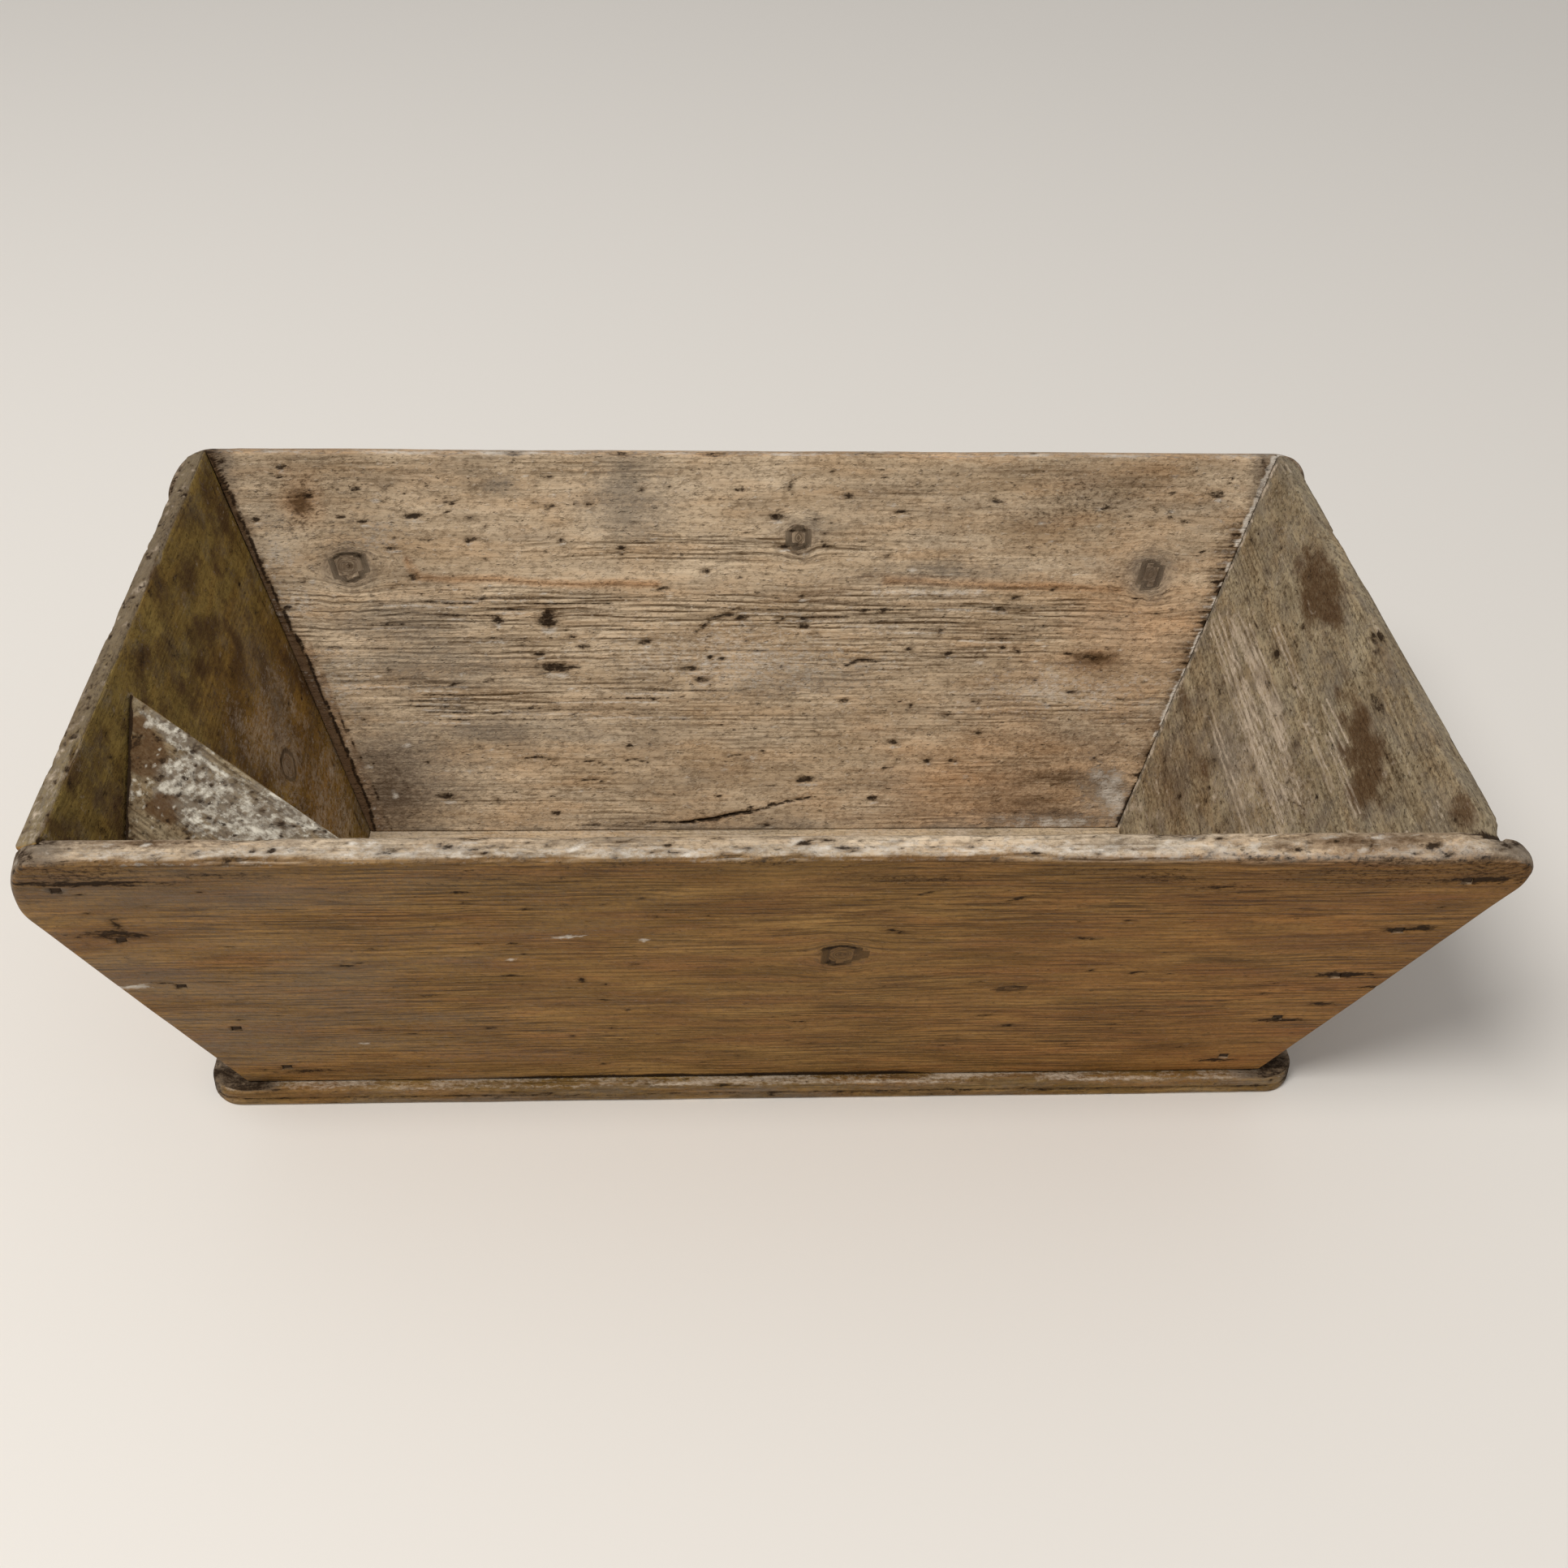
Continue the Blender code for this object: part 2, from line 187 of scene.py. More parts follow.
class DOUGHBIN_PG_colours(bpy.types.PropertyGroup):
    """The colours of the wood, the iron and the floor."""

    waxed_light: colour("Waxed, light", "Pale wood of the waxed outer faces", "#a9834d")
    waxed_dark: colour("Waxed, dark", "Dark wood of the waxed outer faces", "#7a5827")
    waxed_warm: colour("Waxed, warm", "Redder wood of the waxed outer faces", "#90643b")
    scrubbed_light: colour("Scrubbed, light", "Pale wood of the scrubbed inner faces", "#dcc6a8")
    scrubbed_dark: colour("Scrubbed, dark", "Dark wood of the scrubbed inner faces", "#b9a183")
    scrubbed_warm: colour("Scrubbed, warm", "Redder wood of the scrubbed inner faces", "#c8a680")
    late_wood: colour("Late wood", "Narrow dark lines of the grain", "#483217")
    bare_rim: colour("Bare rim", "Wood worn bare along the rims", "#c5b49f")
    dirt: colour("Dirt", "Dirt in pits, cracks and seams", "#24180d")
    amber: colour("Amber tint", "Tint of pine that has aged amber", "#ffe6d0")
    resin: colour("Resin", "Resin streaks, knots and brown stains", "#523b25")
    grey: colour("Grey stain", "Old grey stains on the wood", "#736a5f")
    flour: colour("Flour crust", "Dried flour and dough", "#d0cabb")
    # Dirt: the colour of the strong dark marks, dirt in pits, cracks and seams, and also painted shadow at
    # the shelf's gap and the front board's foot.
    filler: colour("Filler", "Pale filler and bare scratches", "#d9d0c3")
    iron: colour("Iron", "Rusted iron of the nails", "#33261a")
    floor: colour("Floor", "Floor under the bin", "#e4e0da")


# Patterns.


def scatter(i, j, seed):
    """A fixed random number from 0 to 1 for each whole place i, j."""
    n = (i * 374761393 + j * 668265263 + seed * 974634777) & 0xFFFFFFFF
    n = ((n ^ (n >> 13)) * 1274126177) & 0xFFFFFFFF
    return ((n ^ (n >> 16)) & 0xFFFFFF) / 0xFFFFFF


def swell(x, y, seed):
    """A smooth random surface from -1 to 1 with bumps about 1 across."""
    x, y = np.broadcast_arrays(np.asarray(x, float), np.asarray(y, float))
    i, j = np.floor(x).astype(np.int64), np.floor(y).astype(np.int64)
    s, t = x - i, y - j
    s, t = s * s * (3 - 2 * s), t * t * (3 - 2 * t)
    low = scatter(i, j, seed) * (1 - s) + scatter(i + 1, j, seed) * s
    high = scatter(i, j + 1, seed) * (1 - s) + scatter(i + 1, j + 1, seed) * s
    return (low * (1 - t) + high * t) * 2 - 1


def cloud(x, y, seed, octaves=3):
    """Swell with finer swells laid over it."""
    total, weight = 0.0, 0.0
    for k in range(octaves):
        total = total + swell(x * 2**k, y * 2**k, seed + 31 * k) * 0.5**k
        weight += 0.5**k
    return total / weight


def ease(low, high, x):
    """0 below low, 1 above high and smooth between; low may be the larger."""
    t = np.clip((x - low) / (high - low), 0, 1)
    return t * t * (3 - 2 * t)


def near_line(x, half):
    """1 where x is 0, and 0 where it is half or more away."""
    return np.clip(1 - np.abs(x) / half, 0, 1)


# The bin's planes.


class Plan:
    """Where the bin's boards stand, worked out from its sizes."""

    def __init__(self, sizes):
        self.thick = sizes.board
        self.floor = sizes.base_thick
        rise = sizes.height - sizes.base_thick
        side_out = (sizes.top_depth - sizes.bottom_depth) / 2
        end_out = (sizes.top_length - sizes.bottom_length) / 2
        self.side_lean = math.atan2(side_out, rise)
        self.end_lean = math.atan2(end_out, rise)
        self.side_slope = math.hypot(side_out, rise)
        self.end_slope = math.hypot(end_out, rise)
        self.side_foot = sizes.bottom_depth / 2
        self.end_foot = sizes.bottom_length / 2 - END_SET_IN
        self.flare = end_out / self.side_slope
        self.bottom_half = sizes.bottom_length / 2
        self.top_half = sizes.top_length / 2

    def stand(self, origin, across, up):
        """The board's own frame: across it, up its slope and out of its outer face."""
        out = across.cross(up)
        turn = Matrix((across, up, out)).transposed().to_4x4()
        return Matrix.Translation(origin) @ turn

    def side_frame(self, side):
        """Frame of the front (-1) or back (1) board."""
        up = Vector((0, side * math.sin(self.side_lean), math.cos(self.side_lean)))
        return self.stand(Vector((0, side * self.side_foot, self.floor)), Vector((-side, 0, 0)), up)

    def end_frame(self, side):
        """Frame of the left (-1) or right (1) end."""
        up = Vector((side * math.sin(self.end_lean), 0, math.cos(self.end_lean)))
        return self.stand(Vector((side * self.end_foot, 0, self.floor)), Vector((0, side, 0)), up)

    def tip(self, v, cut, worn=(TIP_R, TIP_R)):
        """Half length of a long board at v up its slope: slanting end, upright cut, and a tip
        worn round over the given run along the rim and rise below it."""
        slant = self.bottom_half + v * self.flare
        upright = self.top_half - cut * self.flare
        lean = math.atan(self.flare)
        corner, reach = self.side_slope - cut, HIP_R * math.tan(lean / 2)
        under = np.clip(corner + reach - v, 0, HIP_R)
        hip = upright - HIP_R + np.sqrt(HIP_R**2 - under**2)
        half = np.where(v > corner - reach * math.cos(lean), hip, slant)
        run, rise = worn
        over = np.clip((v - self.side_slope) / rise + 1, 0, 1)
        return half - run * (1 - np.sqrt(1 - over**2))

    def front_ends(self, v, w):
        """Both ends of the front board."""
        return -self.tip(v, LONG_TIP_CUT, FRONT_TIP_WEAR), self.tip(v, SHORT_TIP_CUT)

    def back_ends(self, v, w):
        """Both ends of the back board."""
        return -self.tip(v, LONG_TIP_CUT), self.tip(v, SHORT_TIP_CUT, BACK_TIP_WEAR)

    def end_ends(self, v, w, let_in=HOUSING_DEPTH - JOINT_GAP):
        """Both ends of an end board, let into the long boards."""
        z = v * math.cos(self.end_lean) - w * math.sin(self.end_lean)
        half = self.side_foot - (self.thick - let_in) / math.cos(self.side_lean)
        half = half + z * math.tan(self.side_lean)
        return -half, half

    def inner_corner(self, height):
        """The inner front left corner of the trough, at a height above the floor."""
        up = height - self.floor
        x = self.end_foot - self.thick / math.cos(self.end_lean) + up * math.tan(self.end_lean)
        y = self.side_foot - self.thick / math.cos(self.side_lean) + up * math.tan(self.side_lean)
        return Vector((-x, -y, height))

    def shelf_frame(self, height):
        """Frame of the shelf's upper face, from its inner corner out to its long edge, and
        half the angle of that corner."""
        corner = self.inner_corner(height)
        up = (self.inner_corner(height + 0.05) - corner).normalized()
        front_out, left_out = (f.to_3x3().col[2] for f in (self.side_frame(-1), self.end_frame(-1)))
        along_front = (-front_out).cross(up).normalized()
        along_left = up.cross(-left_out).normalized()
        half_angle = along_front.angle(along_left) / 2
        out = (along_front + along_left).normalized()
        return self.stand(corner, out.cross(up), out), half_angle

    def seam(self, v):
        """Where an end's inner face meets a long board's inner face, out from its middle."""
        z = v * math.cos(self.side_lean) + self.thick * math.sin(self.side_lean)
        return self.end_foot + z * math.tan(self.end_lean) - self.thick / math.cos(self.end_lean)


# Boards as meshes.


def places(span, pitch, edge, fine=()):
    """Cuts along one side of a board: close together near both arrises and in the fine
    stretches, even between."""
    if span < 6 * edge:
        turn = np.linspace(0, math.pi, 2 + 2 * round(span / pitch))
        return span * (1 - np.cos(turn)) / 2
    near = edge * np.array(ARRIS_CUTS)
    count = max(2, round((span - 2 * near[-1]) / pitch))
    middle = np.linspace(near[-1], span - near[-1], count + 1)
    cuts = np.concatenate([near[:-1], middle, (span - near[:-1])[::-1]])
    for low, high, step in fine:
        cuts = cuts[(cuts < low - step / 2) | (cuts > high + step / 2)]
        cuts = np.sort(np.append(cuts, np.arange(low, high, step)))
    return cuts


def cut_box(a, b, c):
    """Points and outward faces of a box cut at the given places."""
    shape = (len(a), len(b), len(c))
    index = np.full(shape, -1)
    i, j, k = np.indices(shape)
    out = (i == 0) | (i == shape[0] - 1) | (j == 0) | (j == shape[1] - 1)
    out |= (k == 0) | (k == shape[2] - 1)
    index[out] = np.arange(out.sum())
    points = np.stack([a[i[out]], b[j[out]], c[k[out]]], 1)
    faces = []
    for axis in range(3):
        for end in (0, -1):
            layer = np.take(index, end, axis)
            ring = [layer[:-1, :-1], layer[1:, :-1], layer[1:, 1:], layer[:-1, 1:]]
            quads = np.stack([corner.ravel() for corner in ring], 1)
            faces.append(quads[:, ::-1] if (end == 0) != (axis == 1) else quads)
    return points, np.concatenate(faces)


class Skin:
    """The surface of one board under the tools: where each point is, which way it faces,
    how deep it is worn and what marks it carries. Features are placed in mm."""

    def __init__(self, u, v, w, facing):
        self.u, self.v, self.w = u / MM, v / MM, w / MM
        self.ring = self.v.copy()
        self.depth = np.zeros_like(u)
        self.dark, self.red, self.pale, self.grey = (np.zeros_like(u) for _ in range(4))
        self.lined, self.amber = np.zeros_like(u), np.zeros_like(u)
        self.side = {
            INNER: ease(0.25, 0.75, -facing[:, 2]),
            OUTER: ease(0.25, 0.75, facing[:, 2]),
            RIM: ease(0.25, 0.75, facing[:, 1]),
            FOOT: ease(0.25, 0.75, -facing[:, 1]),
            ENDS: ease(0.25, 0.75, np.abs(facing[:, 0])),
        }
        self.scrubbed = self.side[INNER].copy()
        up = np.clip(facing[:, 1], 0, 1)
        self.arris = {
            INNER: 2 * up * np.clip(-facing[:, 2], 0, 1),
            OUTER: 2 * up * np.clip(facing[:, 2], 0, 1),
        }

    def flat(self, side):
        """The two ways across a face: along the grain, and across it or through the board."""
        return (self.u, self.w) if side in (RIM, FOOT) else (self.u, self.v)

    def patchy(self, side, level, gain, size, seed, octaves=3, most=1.0):
        """Patches of the given size over a face, from 0 to most; level is their middle."""
        x, y = self.flat(side)
        return np.clip(level + gain * cloud(x / size[0], y / size[1], seed, octaves), 0, most)

    def hollow(self, deep, size, seed):
        """Wears shallow hollows of the given depth and size all over the board."""
        self.depth -= deep * (1 + cloud(self.u / size[0], self.v / size[1], seed)) * 0.5

    def blot(self, side, at, size, ragged, turn=0.0, among=slice(None)):
        """A soft-edged patch: 1 in the middle, 0.5 at its edge and 0 well outside; among
        picks the points that it is worked out for."""
        x, y = self.flat(side)
        du, dv = x[among] - at[0], y[among] - at[1]
        c, s = math.cos(turn), math.sin(turn)
        far = np.hypot((c * du + s * dv) / size[0], (c * dv - s * du) / size[1])
        grit = 1.6 / min(size)
        seed = int(at[0] * 7 + at[1] * 3) + 4000
        far = far + ragged * cloud(du * grit * 0.5, dv * grit, seed, 2)
        return np.clip(1 - far / 2, 0, 1) * self.side[side][among]

    def lay(self, mark, mask, strength=1.0):
        """Lays a mark over what is there."""
        setattr(self, mark, np.maximum(getattr(self, mark), mask * strength))

    def stains(self, side, rows):
        """Lays soft-edged patches: mark, strength, raggedness, place, half length and half height."""
        for mark, strength, ragged, u, v, half, high in rows:
            self.lay(mark, self.blot(side, (u, v), (half, high), ragged), strength)

    def pit(self, side, at, size, depth=1.0, turn=0.0, strength=1.0, mark="dark"):
        """A hole or a stain: sunk by depth, and filled with the mark."""
        reach = 2.6 * max(size)
        x, y = self.flat(side)
        near = (np.abs(x - at[0]) < reach) & (np.abs(y - at[1]) < reach) & (self.side[side] > 0)
        if not near.any():
            return
        mask = self.blot(side, at, size, 0.7, turn, near)
        self.depth[near] -= depth * ease(0.38, 0.8, mask)
        layer = getattr(self, mark)
        layer[near] = np.maximum(layer[near], mask * strength)

    def pecks(self, side, count, seed, area, sizes, depth=0.6, strength=1.0, mark="dark"):
        """Many small pits, longer along the grain."""
        draw = np.random.default_rng(seed)
        u0, v0, u1, v1 = area
        for _ in range(count):
            at = (draw.uniform(u0, u1), draw.uniform(v0, v1))
            big = sizes[0] + (sizes[1] - sizes[0]) * draw.random() ** 2.5
            stretch = draw.uniform(1.0, sizes[2])
            depth_now, turn = depth * draw.uniform(0.4, 1), draw.normal(0, 0.1)
            shade = strength * draw.uniform(0.6, 1.0)
            self.pit(side, at, (big * stretch, big), depth_now, turn, shade, mark)

    def streak(self, side, path, width, depth=0.0, strength=1.0, mark="dark", wave=6):
        """A crack or a stain along a path of points."""
        x, y = self.flat(side)
        for (u0, v0), (u1, v1) in zip(path, path[1:]):
            du, dv = u1 - u0, v1 - v0
            along = np.clip(((x - u0) * du + (y - v0) * dv) / (du * du + dv * dv), 0, 1)
            wander = 0.6 * width * swell(x / wave, y * 0, 77)
            far = np.hypot(x - u0 - along * du, y - v0 - along * dv + wander)
            mask = near_line(far, 2 * width) * self.side[side]
            self.depth -= depth * ease(0.35, 0.8, mask)
            self.lay(mark, mask, strength)

    def chip(self, side, at, half, depth, mark="dark", strength=0.0):
        """A bite out of the rim's inner or outer arris."""
        far = np.abs(self.u - at) / half + 0.35 * swell(self.u / 3, self.w / 3, int(at) + 900)
        mask = np.clip(1 - far / 2, 0, 1) * np.clip(self.arris[side], 0, 1)
        self.depth -= depth * ease(0.35, 0.7, mask)
        self.lay(mark, mask, strength)

    def knot(self, side, at, radius, halo=0.5, grey=0.0, core=0.85, wide=1.25, bold=1.0):
        """A knot: rings round its heart, with the grain swept round it."""
        on = self.side[side]
        du, dv = (self.u - at[0]) / wide, self.v - at[1]
        far = np.hypot(du, dv) * (1 + 0.14 * swell(du / radius * 2, dv / radius * 2, int(at[0])))
        self.ring -= dv * (radius / np.maximum(far, radius)) ** 2 * on
        inside = ease(radius * 1.05, radius * 0.95, far) * on
        rings = at[1] + KNOT_OFF + far * KNOT_CLOSE
        self.ring = self.ring * (1 - inside) + rings * inside
        self.lay("red", near_line(far, 3.6 * radius) * on, halo)
        self.lay("red", ease(1.15 * radius, 0.8 * radius, far) * on, 0.50)
        self.lay("grey", np.clip(1.25 - far / (2.4 * radius), 0, 1) * on, grey)
        broken = ease(-0.5, 0.4, swell(du / radius, dv / radius, 9))
        for share, strength in ((1.0, 0.84), (0.58, 0.56)):
            edge = near_line(far - share * radius, 0.34 * radius)
            self.lay("dark", edge * broken * on, strength * bold)
        self.lay("dark", near_line(far, 0.6 * radius) * on, core)
        self.depth -= 0.35 * ease(1.3 * radius, 0.8 * radius, far) * on


def plank(name, stand, size, pitch, low, ends, features, arris, nails, cutters=(), dip=None, fine=()):
    """Makes one board: a box of the given size with eased arrises, stretched between its
    foot, its rim and its two ends, its rim worn down by dip, then worn and marked by its
    features, with its joints cut."""
    cuts = [places(s, p, arris[1] * 1.15, f) for s, p, f in zip(size, pitch, (fine, (), ()))]
    points, faces = cut_box(*cuts)
    box = np.array(size)
    rim_part = ease(0.25, 0.9, points[:, 1] / size[1])
    radius = arris[0] + (arris[1] - arris[0]) * rim_part
    radius = radius * (1.25 + 0.25 * cloud(points[:, 0] * 18, points[:, 1] * 18, len(name)))
    radius = np.clip(radius, LEAST_ARRIS, min(size) * 0.42)[:, None]
    core = np.clip(points, radius, box - radius)
    facing = points - core
    facing /= np.linalg.norm(facing, axis=1, keepdims=True)
    points = core + facing * radius

    def spread(a, b, c):
        w = c - size[2]
        foot = low(w)
        v = foot + b * (size[1] - foot) / size[1]
        left, right = ends(v, w)
        u = left + (right - left) * a / size[0]
        if dip:
            v = v - dip(u / MM, w / MM) * MM * ease(0.75, 1.0, b / size[1])
        return u, v, w

    u, v, w = spread(*points.T)
    worn = Skin(u, v, w, facing)
    features(worn)
    local = np.stack([u, v, w], 1) + facing * (worn.depth * MM)[:, None]
    turn = np.array(stand.to_3x3())
    world = local @ turn.T + np.array(stand.translation)

    mesh = bpy.data.meshes.new(name)
    mesh.from_pydata(world.tolist(), [], faces.tolist())
    board = put_in_scene(name, mesh)
    for cutter in (*cutters, nail_holes(nails)):
        carve(board, cutter)
    board.data.shade_smooth()
    mark_board(board.data, stand, features, nails)
    return board


def mark_board(mesh, stand, features, nails):
    """Gives a finished board's points their marks, their grain and the kind of face they lie on."""
    turn = np.array(stand.to_3x3())
    count = len(mesh.vertices)
    points, normals = np.empty(count * 3), np.empty(count * 3)
    mesh.vertices.foreach_get("co", points)
    mesh.vertex_normals.foreach_get("vector", normals)
    points = points.reshape(-1, 3)
    local = (points - np.array(stand.translation)) @ turn
    done = Skin(*local.T, normals.reshape(-1, 3) @ turn)
    features(done)
    axes = nail_axes()
    for head, axis, corner, reach, wide in (axes[n] for n in nails):
        arm = points - np.array(head)
        along = arm @ np.array(axis)
        off = np.linalg.norm(arm - along[:, None] * np.array(axis), axis=1)
        # Darker in each nail's hole and in a thin ring round its head, with no pale there.
        hole = (off < wide + HOLE_DARK_ROUND) & (np.abs(along) < HOLE_DARK_ALONG)
        done.dark[hole], done.pale[hole] = np.maximum(done.dark[hole], HOLE_DARKNESS), 0
    marks = np.stack([done.dark, done.red, done.pale, done.grey], 1)
    grain = np.stack([done.u, done.ring + RING_LEAN * done.w, done.w], 1) * MM
    for label, kind, key, values in (
        ("marks", "FLOAT_COLOR", "color", np.clip(marks, 0, 1)),
        ("grain", "FLOAT_VECTOR", "vector", grain),
        ("scrubbed", "FLOAT", "value", np.clip(done.scrubbed, 0, 1)),
        ("lined", "FLOAT", "value", np.clip(done.lined, 0, 1)),
        ("amber", "FLOAT", "value", np.clip(done.amber, 0, 1)),
    ):
        layer = mesh.attributes.new(label, kind, "POINT")
        layer.data.foreach_set(key, values.astype(np.float32).ravel())


def carve(board, cutter):
    """Takes the cutter's shape out of the board, and the cutter away."""
    cut = board.modifiers.new("cut", "BOOLEAN")
    cut.operation, cut.object, cut.solver = "DIFFERENCE", cutter, "MANIFOLD"
    keep_result(board)
    bpy.data.objects.remove(cutter)


def put_in_scene(name, data):
    """A new object in the scene, with the given mesh, lamp or lens."""
    made = bpy.data.objects.new(name, data)
    bpy.context.scene.collection.objects.link(made)
    return made


def build_mesh(name, build):
    """A mesh object from a bmesh that the given function fills."""
    work = bmesh.new()
    build(work)
    bmesh.ops.recalc_face_normals(work, faces=work.faces)
    mesh = bpy.data.meshes.new(name)
    work.to_mesh(mesh)
    work.free()
    return put_in_scene(name, mesh)


def housings(plan, side):
    """Two slanting blocks that cut a long board's housings for the ends."""

    def build(work):
        for end in (-1, 1):
            stand = plan.end_frame(end)
            corners = []
            for w in (-plan.thick - JOINT_GAP, JOINT_GAP):
                for v in (-HOUSING_PAST, plan.end_slope + HOUSING_PAST):
                    left, right = plan.end_ends(v, w, HOUSING_DEPTH)
                    near = -HOUSING_IN if side * end < 0 else HOUSING_IN
                    far = left if side * end < 0 else right
                    for u in (near, far):
                        corners.append(work.verts.new(stand @ Vector((u, v, w))))
            for quad in ((0, 1, 3, 2), (4, 5, 7, 6), (0, 1, 5, 4), (2, 3, 7, 6), (0, 2, 6, 4), (1, 3, 7, 5)):
                work.faces.new([corners[i] for i in quad])

    return build_mesh("housing_cut", build)


def nail_axes():
    """Head, pointing direction, one corner's direction, length and half-diagonal of the head
    of each CAD nail, by name."""
    axes = {}
    for name, node in sorted(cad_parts.items()):
        if not name.startswith("nail_"):
            continue
        points = np.array([vertex.co for vertex in node.data.vertices])
        centre = points.mean(0)
        axis = np.linalg.svd(points - centre, full_matrices=False)[2][0]
        along = (points - centre) @ axis
        off = points - centre - along[:, None] * axis
        across = np.linalg.norm(off, axis=1)
        if across[along > 0].max() > across[along < 0].max():
            axis, along = -axis, -along
        far = int(across.argmax())
        corner = off[far] / across[far]
        head = centre + axis * along.min()
        reach = along.max() - along.min()
        axes[name] = (Vector(head), Vector(axis), Vector(corner), float(reach), float(across[far]))
    return axes


def nail_holes(names):
    """Square holes for the named nails, open at the head."""
    axes = nail_axes()

    def build(work):
        for name in names:
            head, axis, corner, reach, wide = axes[name]
            side = axis.cross(corner)
            top, shank = wide + HOLE_EASE, wide * SHANK_SHARE + HOLE_EASE
            loops = []
            for deep, half in (
                (-HOLE_ABOVE, top),
                (HEAD_DEEP, top),
                (SHOULDER_DEEP, shank),
                (reach + HOLE_EASE, shank * POINT_SHARE),
            ):
                middle = head + axis * deep
                square = [corner * half, side * half, -corner * half, -side * half]
                loops.append([work.verts.new(middle + offset) for offset in square])
            for low, high in zip(loops, loops[1:]):
                for i in range(4):
                    j = (i + 1) % 4
                    work.faces.new((low[i], low[j], high[j], high[i]))
            work.faces.new(loops[0])
            work.faces.new(loops[-1])

    return build_mesh("nail_hole_cut", build)


def nail_names(*starts):
    """CAD nails whose names begin with any of the given words."""
    return sorted(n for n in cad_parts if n.startswith(tuple("nail_" + s for s in starts)))


def finish_piece(piece, material, slot, *nodes):
    """Gives a piece its material, hides the CAD nodes that it stands for and hangs it under the root."""
    piece.data.materials.clear()
    piece.data.materials.append(material)
    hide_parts(*nodes)
    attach(piece, "root")


# Materials.


def add(tree, kind, sockets=None, **settings):
    """Adds a node, gives it its settings and fills or links its sockets."""
    made = tree.nodes.new(kind)
    for key, value in settings.items():
        setattr(made, key, value)
    for key, value in (sockets or {}).items():
        if isinstance(value, bpy.types.NodeSocket):
            tree.links.new(value, made.inputs[key])
        else:
            made.inputs[key].default_value = value
    return made


def maths(tree, operation, *values):
    """The result of a sum on the given values."""
    return add(tree, "ShaderNodeMath", dict(enumerate(values)), operation=operation).outputs[0]


def blend(tree, amount, under, over, kind="MIX"):
    """One colour laid over another by the given amount."""
    sockets = {0: amount, 6: under, 7: over}
    return add(tree, "ShaderNodeMix", sockets, data_type="RGBA", blend_type=kind).outputs[2]


def remap(tree, value, low, high):
    """A value turned so that low becomes 0 and high becomes 1."""
    return add(tree, "ShaderNodeMapRange", {0: value, 1: low, 2: high}).outputs[0]


def vary(tree, value, low, high):
    """A value from 0 to 1 turned so that it runs from low to high."""
    return add(tree, "ShaderNodeMapRange", {0: value, 3: low, 4: high}).outputs[0]


def noise(tree, place, scale, detail, **more):
    """Fine noise from 0 to 1."""
    sockets = {"Vector": place, "Scale": scale, "Detail": detail, **more}
    return add(tree, "ShaderNodeTexNoise", sockets).outputs[0]


def bumps(tree, height, strength, deep):
    """Small bumps of the given depth, in metres."""
    sockets = {"Height": height, "Strength": strength, "Distance": deep}
    return add(tree, "ShaderNodeBump", sockets).outputs[0]


def empty_tree(owner):
    """The node tree of a new material or world, with nothing in it."""
    owner.use_nodes = True
    owner.node_tree.nodes.clear()
    return owner.node_tree


def coat(tree, looks):
    """Ends a material's tree with a surface that has the given looks."""
    surface = add(tree, "ShaderNodeBsdfPrincipled", looks)
    add(tree, "ShaderNodeOutputMaterial", {"Surface": surface.outputs[0]})


# Patterns of old pine, read along the grain, across its rings and through the board:
# size along and across in mm, detail, roughness, and the values that become 0 and 1.
PINE_PATTERNS = {
    "patches": (90, 26, 3, 0.58, 0.36, 0.64),
    "warmth": (75, 17, 3, 0.60, 0.45, 0.64),
    "greying": (60, 22, 4, 0.64, 0.46, 0.68),
    "late": (105, 4.6, 3, 0.58, 0.44, 0.60),
    "streaks": (36, 2.8, 3, 0.62, 0.48, 0.64),
    "lines": (62, 2.3, 3, 0.52, 0.50, 0.60),
    "highlight_lines": (62, 2.3, 3, 0.52, 0.50, 0.60),
    "speckle": (4.4, 2.8, 3, 0.70, 0.48, 0.64),
    "dots": (6.0, 3.0, 2, 0.60, 0.65, 0.75),
    "flecks": (4.8, 2.6, 2, 0.55, 0.60, 0.72),
    "ragged": (4.0, 2.4, 4, 0.72, 0.25, 0.75),
}

# How far apart the patterns are read, and how far each painted highlight line lies beside its dark line.
PATTERN_SHIFT = (7.3, 3.1)
HIGHLIGHT_BESIDE = 0.55

# What is laid over the plain wood, in order, and the colour that it is laid in.
PINE_LAYERS = (
    ("warmth", "warm"),
    ("greying", "grey"),
    ("late", "late_wood"),
    ("streaks", "late_wood"),
    ("lines", "late_wood"),
    # Painted highlight: a pale line in the light wood colour beside each dark fine line.
    ("highlight_lines", "light"),
    ("speckle", "late_wood"),
    ("flecks", "bare_rim"),
    ("dots", "dirt"),
)

# How strongly each layer shows on a waxed and on a scrubbed face.
WAXED = {
    "tone": (1, 1, 1), "warmth": 0.6, "greying": 0.0, "late": 0.38, "streaks": 0.82, "lines": 0.55,
    "highlight_lines": 0.50, "speckle": 0.26, "flecks": 0.10, "dots": 0.40,
}
SCRUBBED = {
    "tone": (1, 1, 1), "warmth": 0.50, "greying": 0.40, "late": 0.14, "streaks": 0.46, "lines": 0.80,
    "highlight_lines": 0.55, "speckle": 0.40, "flecks": 0.65, "dots": 0.55,
}

